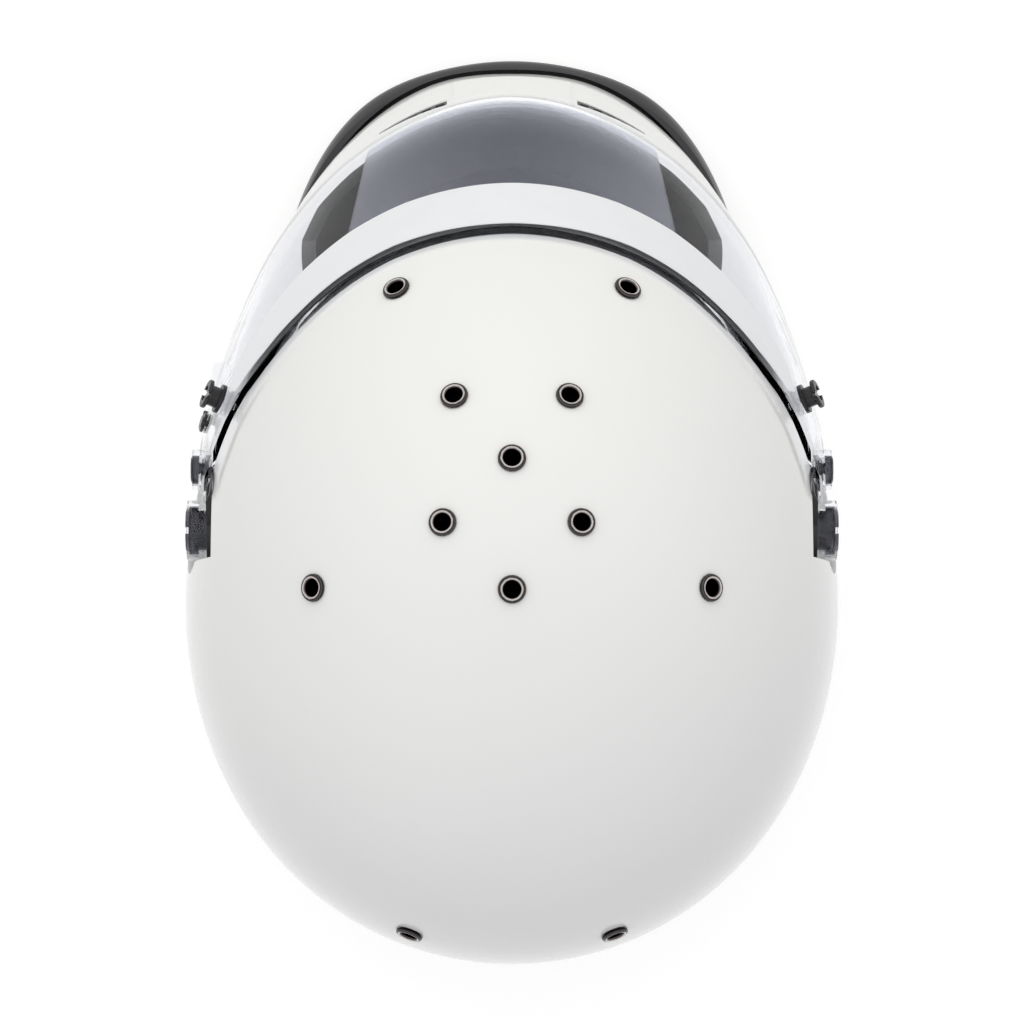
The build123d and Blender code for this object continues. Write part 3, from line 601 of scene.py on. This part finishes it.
def new_mesh(name: str, vertices: list, faces: list) -> bpy.types.Object:
    """Makes a smooth mesh object.

    Args:
        name: the object's name.
        vertices: the places, in metres.
        faces: the faces as vertex numbers.

    Returns:
        The object, linked to the scene.
    """
    mesh = bpy.data.meshes.new(name)
    mesh.from_pydata(vertices, [], faces)
    mesh.validate()
    mesh.polygons.foreach_set("use_smooth", [True] * len(mesh.polygons))
    made = bpy.data.objects.new(name, mesh)
    bpy.context.scene.collection.objects.link(made)
    return made


def face_outward(piece: bpy.types.Object) -> None:
    """Turns every face of a closed mesh outward.

    Args:
        piece: the mesh object.
    """
    net = bmesh.new()
    net.from_mesh(piece.data)
    bmesh.ops.recalc_face_normals(net, faces=net.faces)
    net.to_mesh(piece.data)
    net.free()


def apply_modifiers(piece: bpy.types.Object, smooth: bool = True) -> None:
    """Bakes every modifier of a piece into its mesh.

    Args:
        piece: the mesh object.
        smooth: whether every face is then shaded smooth.
    """
    bpy.context.view_layer.update()
    depsgraph = bpy.context.evaluated_depsgraph_get()
    baked = bpy.data.meshes.new_from_object(piece.evaluated_get(depsgraph))
    piece.modifiers.clear()
    piece.data = baked
    if smooth:
        piece.data.polygons.foreach_set("use_smooth", [True] * len(piece.data.polygons))


@dataclass
class Shell:
    """The hard pieces of the helmet itself: shell, lip, trim, vents, foam liners and strap hardware."""

    def dress(self, wardrobe: Wardrobe) -> None:
        """Dresses the hard pieces.

        Args:
            wardrobe: the finishes.
        """
        wardrobe.dress_nodes(Finish.SHELL, "outer_shell")
        wardrobe.dress_nodes(Finish.LIP_PLASTIC, "chin_lip")
        wardrobe.dress_nodes(Finish.RUBBER, "base_edge_trim")
        wardrobe.dress_nodes(Finish.BLACK_PLASTIC, "chin_vent_inserts", "visor_latch_catch")
        wardrobe.dress_nodes(Finish.FOAM, "crown_impact_liner", "chin_bar_impact_liner")
        wardrobe.dress_nodes(
            Finish.BRIGHT_STEEL, "strap_rivets", "strap_anchor_plates",
            "strap_ring_outer", "strap_ring_inner",
        )


@dataclass
class Seal:
    """The eyeport gasket, with its front flange trimmed back to the narrow lip that shows.

    The front line is seen from the side, as (y, z), and closes round all that is trimmed.
    """

    half_width: float = 0.2
    front_line: tuple[tuple[float, float], ...] = (
        (-0.2494, 0.1926), (-0.1011, 0.1875), (-0.0894, 0.1838), (-0.0791, 0.1817),
        (-0.0654, 0.1792), (-0.0482, 0.1736), (-0.0414, 0.1690), (-0.0414, 0.1048),
        (-0.2494, 0.1048),
    )

    def cutter(self) -> bpy.types.Object:
        """Makes the block of space in front of the line.

        Returns:
            A closed prism across the helmet.
        """
        count = len(self.front_line)
        sides = (-self.half_width, self.half_width)
        corners = [(side, y, z) for side in sides for y, z in self.front_line]
        faces = [tuple(reversed(range(count))), tuple(range(count, 2 * count))]
        faces += [(i, (i + 1) % count, count + (i + 1) % count, count + i) for i in range(count)]
        made = new_mesh("gasket_cutter", corners, faces)
        face_outward(made)
        return made

    def build(self, wardrobe: Wardrobe) -> None:
        """Trims a copy of the CAD gasket and dresses it.

        Args:
            wardrobe: the finishes.
        """
        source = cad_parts["eyeport_gasket"]
        piece = source.copy()
        piece.data = source.data.copy()
        piece.name = "eyeport_gasket_lip"
        bpy.context.scene.collection.objects.link(piece)
        cutter = self.cutter()
        trim = piece.modifiers.new("trim", "BOOLEAN")
        trim.operation = "DIFFERENCE"
        trim.solver = "EXACT"
        trim.object = cutter
        apply_modifiers(piece, smooth=False)
        bpy.data.objects.remove(cutter)
        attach(piece, "helmet")
        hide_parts("eyeport_gasket")
        wardrobe.dress(piece, Finish.RUBBER)
        LOG.info("built %s with %d faces", piece.name, len(piece.data.polygons))


@dataclass
class Eyelets:
    """The vent eyelets, turned again with a rolled rim that carries the painted highlight and painted
    reflection bands.
    """

    rim_radius: float = 0.00105
    bore_radius: float = 0.00325
    barrel_radius: float = 0.0040
    weld: float = 0.000001
    rim_sweep: float = 1.15
    rim_start: float = 0.15
    bore_drop: float = 1.6
    barrel_drop: float = 1.9
    rim_steps: int = 14
    turns: int = 56

    def parts(self, name: str) -> list[numpy.ndarray]:
        """Splits a node into its loose solids.

        Args:
            name: the CAD node.

        Returns:
            The corners of each solid.
        """
        net = bmesh.new()
        net.from_mesh(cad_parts[name].data)
        bmesh.ops.remove_doubles(net, verts=net.verts, dist=self.weld)
        seen = set()
        solids = []
        for start in net.verts:
            if start in seen:
                continue
            seen.add(start)
            queue, corners = [start], []
            while queue:
                vertex = queue.pop()
                corners.append(tuple(vertex.co))
                for edge in vertex.link_edges:
                    other = edge.other_vert(vertex)
                    if other not in seen:
                        seen.add(other)
                        queue.append(other)
            solids.append(numpy.array(corners))
        net.free()
        return solids

    def axis(self, corners: numpy.ndarray) -> tuple[Vector, Vector, float, float]:
        """Finds where a round solid stands.

        Args:
            corners: its corners.

        Returns:
            A point on its axis, the outward direction, and its low and high end along it.
        """
        middle = (corners.min(axis=0) + corners.max(axis=0)) / 2
        values, directions = numpy.linalg.eigh(numpy.cov((corners - corners.mean(axis=0)).T))
        gaps = [abs(values[1] - values[2]), abs(values[0] - values[2]), abs(values[0] - values[1])]
        best = directions[:, int(numpy.argmin(gaps))]
        if best[2] < 0:
            best = -best
        along = (corners - middle) @ best
        top = corners[along > along.max() - 2 * self.rim_radius]
        centre = (top.min(axis=0) + top.max(axis=0)) / 2
        centre = centre - best * ((centre - middle) @ best)
        return Vector(centre), Vector(best), float(along.min()), float(along.max())

    def profile(self, ring: float, low: float, high: float) -> list[tuple[float, float, float]]:
        """The closed outline that is turned about the axis.

        Args:
            ring: the radius to the middle of the rolled rim.
            low: the inner end along the axis.
            high: the outer end along the axis.

        Returns:
            Radius, height and share across the rim of each point.
        """
        points = []
        for index in range(self.rim_steps + 1):
            share = index / self.rim_steps
            turn = math.pi * (self.rim_sweep * share - self.rim_start)
            radius = ring + self.rim_radius * math.cos(turn)
            points.append((radius, high - self.rim_radius * (1 - math.sin(turn)), share))
        points.append((self.bore_radius, high - self.bore_drop * self.rim_radius, 1.0))
        points.append((self.bore_radius, low, 1.0))
        points.append((self.barrel_radius, low, 1.0))
        points.append((self.barrel_radius, high - self.barrel_drop * self.rim_radius, 0.0))
        return points

    def turned(self, name: str, solids: list[numpy.ndarray]) -> bpy.types.Object:
        """Turns one eyelet at each place.

        Args:
            name: the name of the piece.
            solids: the corners of each CAD eyelet.

        Returns:
            The piece, with the share across the rim stored at each corner.
        """
        vertices, faces, shares = [], [], []
        for corners in solids:
            centre, up, low, high = self.axis(corners)
            offsets = corners - numpy.array(centre)
            flat = offsets - numpy.outer(offsets @ numpy.array(up), numpy.array(up))
            outer = float(numpy.linalg.norm(flat, axis=1).max())
            profile = self.profile(outer - self.rim_radius, low, high)
            side = up.orthogonal().normalized()
            other = up.cross(side)
            first = len(vertices)
            for index in range(self.turns):
                turn = 2 * math.pi * index / self.turns
                out = side * math.cos(turn) + other * math.sin(turn)
                for radius, height, share in profile:
                    vertices.append(centre + out * radius + up * height)
                    shares.append(share)
            count = len(profile)
            for index in range(self.turns):
                here, there = first + index * count, first + (index + 1) % self.turns * count
                for cell in range(count):
                    beside = (cell + 1) % count
                    faces.append((here + cell, there + cell, there + beside, here + beside))
        piece = new_mesh(name, vertices, faces)
        layer = piece.data.attributes.new(Finish.EYELET.value.attribute, "FLOAT", "POINT")
        layer.data.foreach_set("value", shares)
        return piece

    def build(self, wardrobe: Wardrobe) -> None:
        """Builds and dresses every eyelet.

        Args:
            wardrobe: the finishes.
        """
        for name in ("crown_vent_eyelets", "rear_vent_eyelets"):
            piece = self.turned(f"{name}_turned", self.parts(name))
            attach(piece, "helmet")
            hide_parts(name)
            wardrobe.dress(piece, Finish.EYELET)
            LOG.info("built %s with %d faces", piece.name, len(piece.data.polygons))


@dataclass
class Visor:
    """The clear visor with everything that turns with it, and its side plates."""

    def dress(self, wardrobe: Wardrobe) -> None:
        """Dresses the visor and its hardware.

        Args:
            wardrobe: the finishes.
        """
        wardrobe.dress_nodes(Finish.CLEAR, "visor_shield", "visor_lift_tab")
        wardrobe.dress_nodes(Finish.LENS, "anti_fog_lens")
        wardrobe.dress_nodes(Finish.STRIP, "visor_sun_strip")
        for side in ("left", "right"):
            wardrobe.dress_nodes(
                Finish.BLACK_PLASTIC, f"visor_base_plate_{side}", f"tear_off_post_{side}",
            )
            wardrobe.dress_nodes(Finish.SMOKED, f"visor_pivot_screw_{side}", f"visor_guide_screw_{side}")
            wardrobe.dress_nodes(Finish.BRASS, f"visor_pivot_insert_{side}")
        wardrobe.dress_nodes(Finish.BLACK_PLASTIC, "visor_latch_lever")
        wardrobe.dress_nodes(Finish.GUNMETAL, "visor_latch_pin", "tear_off_post_screws")


@dataclass(frozen=True)
class Seams:
    """Where a padded piece is sewn through: planes, and spokes about an upright axis."""

    planes: tuple[tuple[str, float], ...] = ()
    mirrored_planes: tuple[float, ...] = ()
    spokes: int = 0
    spoke_centre_y: float = 0.06

    def distance(self, place: Vector) -> float:
        """Distance from the nearest seam.

        Args:
            place: a point, in metres.

        Returns:
            The distance in metres.
        """
        nearest = 1.0
        for axis, value in self.planes:
            nearest = min(nearest, abs(getattr(place, axis) - value))
        for value in self.mirrored_planes:
            nearest = min(nearest, abs(abs(place.x) - value))
        if self.spokes:
            step = 2 * math.pi / self.spokes
            radius = math.hypot(place.x, place.y - self.spoke_centre_y)
            turn = math.atan2(place.y - self.spoke_centre_y, place.x) / step
            nearest = min(nearest, radius * abs(turn - round(turn)) * step)
        return nearest


@dataclass
class Padding:
    """The soft lining: crown liner, cheek pads and neck roll, each blown up between its seams."""

    voxel: float = 0.0045
    shrink: float = 0.0028
    cap: float = 0.006
    pressure: float = 4.0
    frames: int = 20
    ease: float = 0.5
    ease_steps: int = 6
    seam_half_width: float = 0.0024
    stitch_depth: float = 0.0012
    skin_gap: float = 0.0002
    pads: tuple[tuple[str, float, Seams], ...] = (
        ("crown_comfort_liner", 0.5, Seams(planes=(("z", 0.118), ("y", 0.020)), mirrored_planes=(0.030,))),
        ("cheek_pad_left", 0.8, Seams(planes=(("y", -0.052), ("y", -0.010)))),
        ("cheek_pad_right", 0.8, Seams(planes=(("y", -0.052), ("y", -0.010)))),
        ("neck_roll", 0.7, Seams(spokes=14)),
    )

    def start(self, name: str, seams: Seams) -> bpy.types.Object:
        """Makes the slack cover of a pad: an even net, slightly inside its CAD solid.

        Args:
            name: the CAD node.
            seams: where the pad is sewn.

        Returns:
            The cover, with the seams in a vertex group.
        """
        piece = bpy.data.objects.new(f"{name}_padding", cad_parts[name].data.copy())
        bpy.context.scene.collection.objects.link(piece)
        piece.data.materials.clear()
        remesh = piece.modifiers.new("remesh", "REMESH")
        remesh.mode = "VOXEL"
        remesh.voxel_size = self.voxel
        smooth = piece.modifiers.new("smooth", "SMOOTH")
        smooth.factor = self.ease
        smooth.iterations = self.ease_steps
        apply_modifiers(piece)
        group = piece.vertex_groups.new(name="seams")
        for vertex in piece.data.vertices:
            if seams.distance(vertex.co) < self.seam_half_width:
                group.add([vertex.index], 1.0, "REPLACE")
        for vertex in piece.data.vertices:
            vertex.co = vertex.co - vertex.normal * self.shrink
        return piece

    def inflate(self, pieces: list[bpy.types.Object]) -> None:
        """Blows every cover up between its seams with a cloth simulation.

        Args:
            pieces: the covers.
        """
        for piece in pieces:
            cloth = piece.modifiers.new("cloth", "CLOTH")
            cloth.settings.use_pressure = True
            cloth.settings.uniform_pressure_force = self.pressure
            cloth.settings.vertex_group_mass = "seams"
            cloth.settings.effector_weights.gravity = 0.0
            cloth.point_cache.frame_start = 1
            cloth.point_cache.frame_end = self.frames
        scene = bpy.context.scene
        for step in range(1, self.frames + 1):
            scene.frame_set(step)
        for piece in pieces:
            begun = [vertex.co.copy() for vertex in piece.data.vertices]
            apply_modifiers(piece)
            for vertex, origin in zip(piece.data.vertices, begun):
                moved = vertex.co - origin
                if moved.length > self.cap:
                    vertex.co = origin + moved.normalized() * self.cap
        scene.frame_set(1)

    def finish(self, piece: bpy.types.Object, name: str, seams: Seams) -> None:
        """Subdivides a pad, sinks its stitch lines and keeps it inside its CAD solid.

        Args:
            piece: the pad.
            name: the CAD node whose space it fills.
            seams: where the pad is sewn.
        """
        subdivision = piece.modifiers.new("subdivision", "SUBSURF")
        subdivision.levels = 1
        subdivision.render_levels = 1
        apply_modifiers(piece)
        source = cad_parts[name].data
        corners = [vertex.co.copy() for vertex in source.vertices]
        walls = BVHTree.FromPolygons(corners, [tuple(face.vertices) for face in source.polygons])
        normals = [vertex.normal.copy() for vertex in piece.data.vertices]
        for vertex, normal in zip(piece.data.vertices, normals):
            share = seams.distance(vertex.co) / self.seam_half_width
            vertex.co = vertex.co - normal * self.stitch_depth * math.exp(-share * share)
            hit, outward, _, _ = walls.find_nearest(vertex.co)
            if hit is not None and (vertex.co - hit).dot(outward) > -self.skin_gap:
                vertex.co = hit - outward * self.skin_gap

    def build(self, wardrobe: Wardrobe) -> None:
        """Builds and dresses every padded piece.

        Args:
            wardrobe: the finishes.
        """
        pieces = [self.start(name, seams) for name, _, seams in self.pads]
        self.inflate(pieces)
        for piece, (name, fill, seams) in zip(pieces, self.pads):
            self.finish(piece, name, seams)
            piece.vertex_groups.clear()
            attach(piece, "helmet")
            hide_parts(name)
            wardrobe.dress(piece, Finish.FABRIC)
            LOG.info("built %s with %d faces", piece.name, len(piece.data.polygons))


@dataclass
class Straps:
    """The chin strap webbing, woven flat with firm edges, and its loop round the rings.

    Places are (x, z) in the plane that the straps hang in.
    """

    width: float = 0.025
    thickness: float = 0.0019
    strap_y: float = 0.04625
    rib: float = 0.0018
    rib_depth: float = 0.00012
    step: float = 0.0006
    edge_cells: int = 24
    straight_steps: int = 30
    curve_steps: int = 60
    loop_steps: int = 120
    selvedge_share: float = 0.93
    selvedge_drop: float = 0.55
    ribbed_share: float = 0.9
    ring_bar: tuple[float, float] = (0.0760, 0.0260)
    ring_half_spacing: float = 0.0022
    loop_radius: float = 0.0033
    anchor: tuple[float, float] = (0.10931, 0.04555)
    upward: tuple[float, float] = (0.2547, 0.9670)
    upper_length: float = 0.0099
    lower_length: float = 0.011
    long_places: tuple[tuple[float, float], ...] = (
        (0.0959, 0.0223), (0.0748, 0.0126), (0.0424, 0.0076), (0.0088, 0.00655),
    )
    short_places: tuple[tuple[float, float], ...] = ((0.0972, 0.02934), (0.0815, 0.0260))

    def route(self, places: tuple[tuple[float, float], ...]) -> list[Vector]:
        """The middle line of a strap, from its upper end to its last place.

        Args:
            places: the places after the straight run at the anchor, as (x, z).

        Returns:
            Evenly spaced points with x and z.
        """
        anchor = Vector(self.anchor)
        upward = Vector(self.upward)
        top = anchor + upward * self.upper_length
        bottom = anchor - upward * self.lower_length
        points = [bottom, *(Vector(place) for place in places)]
        line = [top + (bottom - top) * index / self.straight_steps for index in range(self.straight_steps)]
        ahead = Vector((-1, 0))
        for index in range(len(points) - 1):
            start, end = points[index], points[index + 1]
            reach = (end - start).length
            before = -upward * reach if index == 0 else (end - points[index - 1]) / 2
            after = ahead * reach if index == len(points) - 2 else (points[index + 2] - start) / 2
            for part in range(self.curve_steps):
                t = part / self.curve_steps
                line.append(
                    start * (2 * t ** 3 - 3 * t ** 2 + 1) + before * (t ** 3 - 2 * t ** 2 + t)
                    + end * (3 * t ** 2 - 2 * t ** 3) + after * (t ** 3 - t ** 2)
                )
        line.append(points[-1])
        return self.spaced(line)

    def spaced(self, line: list[Vector]) -> list[Vector]:
        """Respaces a line evenly.

        Args:
            line: the points.

        Returns:
            Points one step apart.
        """
        result = [line[0]]
        for point in line[1:]:
            while (point - result[-1]).length >= self.step:
                result.append(result[-1] + (point - result[-1]).normalized() * self.step)
        return result

    def loop(self) -> list[Vector]:
        """The closed loop of webbing round both ring bars.

        Returns:
            Points with x and z.
        """
        centre = Vector(self.ring_bar)
        line = []
        for index in range(self.loop_steps):
            turn = 2 * math.pi * index / self.loop_steps
            side = self.ring_half_spacing if math.cos(turn) >= 0 else -self.ring_half_spacing
            reach = Vector((side + self.loop_radius * math.cos(turn), self.loop_radius * math.sin(turn)))
            line.append(centre + reach)
        return line

    def webbing(self, name: str, line: list[Vector], side: int, closed: bool = False) -> bpy.types.Object:
        """Sweeps woven webbing along a line.

        Args:
            name: the name of the piece.
            line: the middle line, as (x, z).
            side: 1 for the wearer's left, -1 for the right.
            closed: whether the line is a loop.

        Returns:
            The piece.
        """
        count = len(line)
        vertices, faces = [], []
        ring = 2 * (self.edge_cells + 1)
        travelled = 0.0
        for index, point in enumerate(line):
            after = line[(index + 1) % count] if closed else line[min(index + 1, count - 1)]
            before = line[index - 1] if closed else line[max(index - 1, 0)]
            along = (after - before).normalized()
            across = Vector((-along.y, along.x))
            travelled += (point - before).length
            wave = math.sin(2 * math.pi * travelled / self.rib)
            for face_side in (1, -1):
                cells = range(self.edge_cells + 1)
                for cell in cells if face_side == 1 else reversed(cells):
                    share = 2 * cell / self.edge_cells - 1
                    past = max(0.0, (abs(share) - self.selvedge_share) / (1 - self.selvedge_share))
                    rise = self.thickness / 2 * (1.0 - self.selvedge_drop * past ** 2)
                    if abs(share) < self.ribbed_share:
                        rise -= self.rib_depth * (1 + face_side * wave)
                    spot = point + across * rise * face_side
                    vertices.append((side * spot.x, self.strap_y + share * self.width / 2, spot.y))
        rows = count if closed else count - 1
        for index in range(rows):
            here, there = index * ring, (index + 1) % count * ring
            for cell in range(ring):
                beside = (cell + 1) % ring
                faces.append((here + cell, here + beside, there + beside, there + cell))
        if not closed:
            faces.append(tuple(reversed(range(ring))))
            faces.append(tuple(range((count - 1) * ring, count * ring)))
        piece = new_mesh(name, vertices, faces)
        face_outward(piece)
        return piece

    def build(self, wardrobe: Wardrobe) -> None:
        """Builds and dresses both straps.

        Args:
            wardrobe: the finishes.
        """
        long_strap = self.webbing("chin_strap_long_webbing", self.route(self.long_places), 1)
        short_strap = self.webbing("chin_strap_short_webbing", self.route(self.short_places), -1)
        loop = self.webbing("chin_strap_ring_loop", self.loop(), -1, closed=True)
        for piece, name in (
            (long_strap, "chin_strap_long"), (short_strap, "chin_strap_short"), (loop, "chin_strap_short"),
        ):
            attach(piece, "helmet")
            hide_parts(name)
            wardrobe.dress(piece, Finish.WEBBING)
            LOG.info("built %s with %d faces", piece.name, len(piece.data.polygons))


@dataclass
class Studio:
    """Floor, world, softbox and the camera straight above."""

    camera_rise: float = 3.0
    reference_height: float = 0.130
    picture_width: float = 0.3909
    camera_y: float = 0.00325
    sensor_width: float = 36.0
    clip_end: float = 20.0
    floor_size: float = 6.0
    floor_colour: str = "B4B4B4"
    floor_roughness: float = 0.9
    floor_glow: float = 0.68
    footprint: tuple[float, float] = (0.100, 0.150)
    painted_shadow_fade: float = 0.9
    tent_level: float = 0.965
    tent_side_drop: float = 0.26
    tent_slope: tuple[float, float, float] = (0.05, -0.29, 0.0)
    tent_below: float = 0.4
    tent_above: float = 0.2
    tent_rear: str = "F8F8FF"
    tent_face: str = "FFFFFA"
    softbox_place: tuple[float, float, float] = (0.5, -1.6, 2.2)
    softbox_aim: tuple[float, float, float] = (0.0, 0.0, 0.15)
    softbox_size: float = 2.4
    softbox_power: float = 3.0

    def build(self) -> None:
        """Builds the whole stage."""
        self.floor()
        self.world()
        self.softbox()
        self.camera()

    def seen_directly(self, tree: bpy.types.NodeTree) -> bpy.types.NodeSocket:
        """Tells the rays that see the backdrop from the rays that only carry light.

        Args:
            tree: the node tree that asks.

        Returns:
            1 for camera, glossy and transmission rays, 0 for the others.
        """
        path = node(tree, "ShaderNodeLightPath").outputs
        first = calculate(tree, "MAXIMUM", path["Is Camera Ray"], path["Is Glossy Ray"])
        return calculate(tree, "MAXIMUM", first, path["Is Transmission Ray"])

    def floor(self) -> None:
        """A plain pale floor that keeps the shadow; its glow is also taken away inside the helmet's
        footprint, a painted shadow there.
        """
        half = self.floor_size / 2
        corners = [(-half, -half, 0), (half, -half, 0), (half, half, 0), (-half, half, 0)]
        floor = new_mesh("studio_floor", corners, [(0, 1, 2, 3)])
        surface = Surface.start("matt_white_floor")
        colour = srgb(self.floor_colour)
        surface.set(Base_Color=colour, Roughness=self.floor_roughness, Specular_IOR_Level=0.0)
        spread = node(surface.tree, "ShaderNodeVectorMath", {0: surface.place}, operation="DIVIDE")
        spread.inputs[1].default_value = (*self.footprint, 1.0)
        reach = node(surface.tree, "ShaderNodeVectorMath", {0: spread.outputs[0]}, operation="LENGTH")
        # Inside the footprint the glow fades to nothing: a painted shadow on the floor under the helmet.
        limits = {"From Min": self.painted_shadow_fade, "From Max": 1.0, "To Max": self.floor_glow}
        glow_outside_painted_shadow = node(surface.tree, "ShaderNodeMapRange", {"Value": reach.outputs["Value"], **limits})
        seen = self.seen_directly(surface.tree)
        glow = calculate(surface.tree, "MULTIPLY", seen, glow_outside_painted_shadow.outputs["Result"])
        surface.set(Emission_Color=srgb("FFFFFF"), Emission_Strength=glow)
        floor.data.materials.append(surface.material)

    def world(self) -> None:
        """White where it is seen; as light, a tent that is brighter and warmer toward the face."""
        world = bpy.data.worlds.new("studio_tent")
        bpy.context.scene.world = world
        world.use_nodes = True
        tree = world.node_tree
        tree.nodes.clear()
        toward = node(tree, "ShaderNodeTexCoord").outputs["Generated"]
        slope = node(tree, "ShaderNodeVectorMath", {0: toward}, operation="DOT_PRODUCT")
        slope.inputs[1].default_value = self.tent_slope
        sideways = node(tree, "ShaderNodeSeparateXYZ", {"Vector": toward}).outputs["X"]
        square = calculate(tree, "MULTIPLY", sideways, sideways)
        drop = calculate(tree, "MULTIPLY", square, self.tent_side_drop)
        sloped = calculate(tree, "ADD", slope.outputs["Value"], self.tent_level)
        level = calculate(tree, "SUBTRACT", sloped, drop)
        low, high = self.tent_level - self.tent_below, self.tent_level + self.tent_above
        share = node(tree, "ShaderNodeMapRange", {"Value": level, "From Min": low, "From Max": high})
        colour = node(tree, "ShaderNodeMix", {0: share.outputs["Result"]}, data_type="RGBA")
        colour.inputs[6].default_value = srgb(self.tent_rear)
        colour.inputs[7].default_value = srgb(self.tent_face)
        light = node(tree, "ShaderNodeBackground", {"Color": colour.outputs[2], "Strength": level})
        white = node(tree, "ShaderNodeBackground", {"Color": srgb("FFFFFF"), "Strength": 1.0})
        mix = node(tree, "ShaderNodeMixShader", {0: self.seen_directly(tree)})
        tree.links.new(light.outputs[0], mix.inputs[1])
        tree.links.new(white.outputs[0], mix.inputs[2])
        output = node(tree, "ShaderNodeOutputWorld")
        tree.links.new(mix.outputs[0], output.inputs["Surface"])

    def softbox(self) -> None:
        """One broad, weak softbox above the face."""
        light = bpy.data.lights.new("key_softbox", "AREA")
        light.shape = "SQUARE"
        light.size = self.softbox_size
        light.energy = self.softbox_power
        holder = bpy.data.objects.new("key_softbox", light)
        holder.location = self.softbox_place
        aim = Vector(self.softbox_aim) - Vector(self.softbox_place)
        holder.rotation_euler = aim.to_track_quat("-Z", "Y").to_euler()
        bpy.context.scene.collection.objects.link(holder)

    def camera(self) -> None:
        """A long lens straight above, the face to the top of the picture."""
        data = bpy.data.cameras.new("camera")
        data.sensor_width = self.sensor_width
        data.lens = data.sensor_width * self.camera_rise / self.picture_width
        data.clip_end = self.clip_end
        camera = bpy.data.objects.new("camera", data)
        camera.location = (0, self.camera_y, self.reference_height + self.camera_rise)
        camera.rotation_euler = (0, 0, math.pi)
        bpy.context.scene.collection.objects.link(camera)
        bpy.context.scene.camera = camera


def main() -> None:
    """Builds every class in order."""
    logging.basicConfig(level=logging.INFO, format="%(message)s")
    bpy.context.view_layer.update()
    bpy.context.scene.view_settings.view_transform = "Standard"
    wardrobe = Wardrobe()
    Shell().dress(wardrobe)
    Seal().build(wardrobe)
    Eyelets().build(wardrobe)
    Visor().dress(wardrobe)
    Padding().build(wardrobe)
    Straps().build(wardrobe)
    Studio().build()


if __name__ == "__main__":
    main()
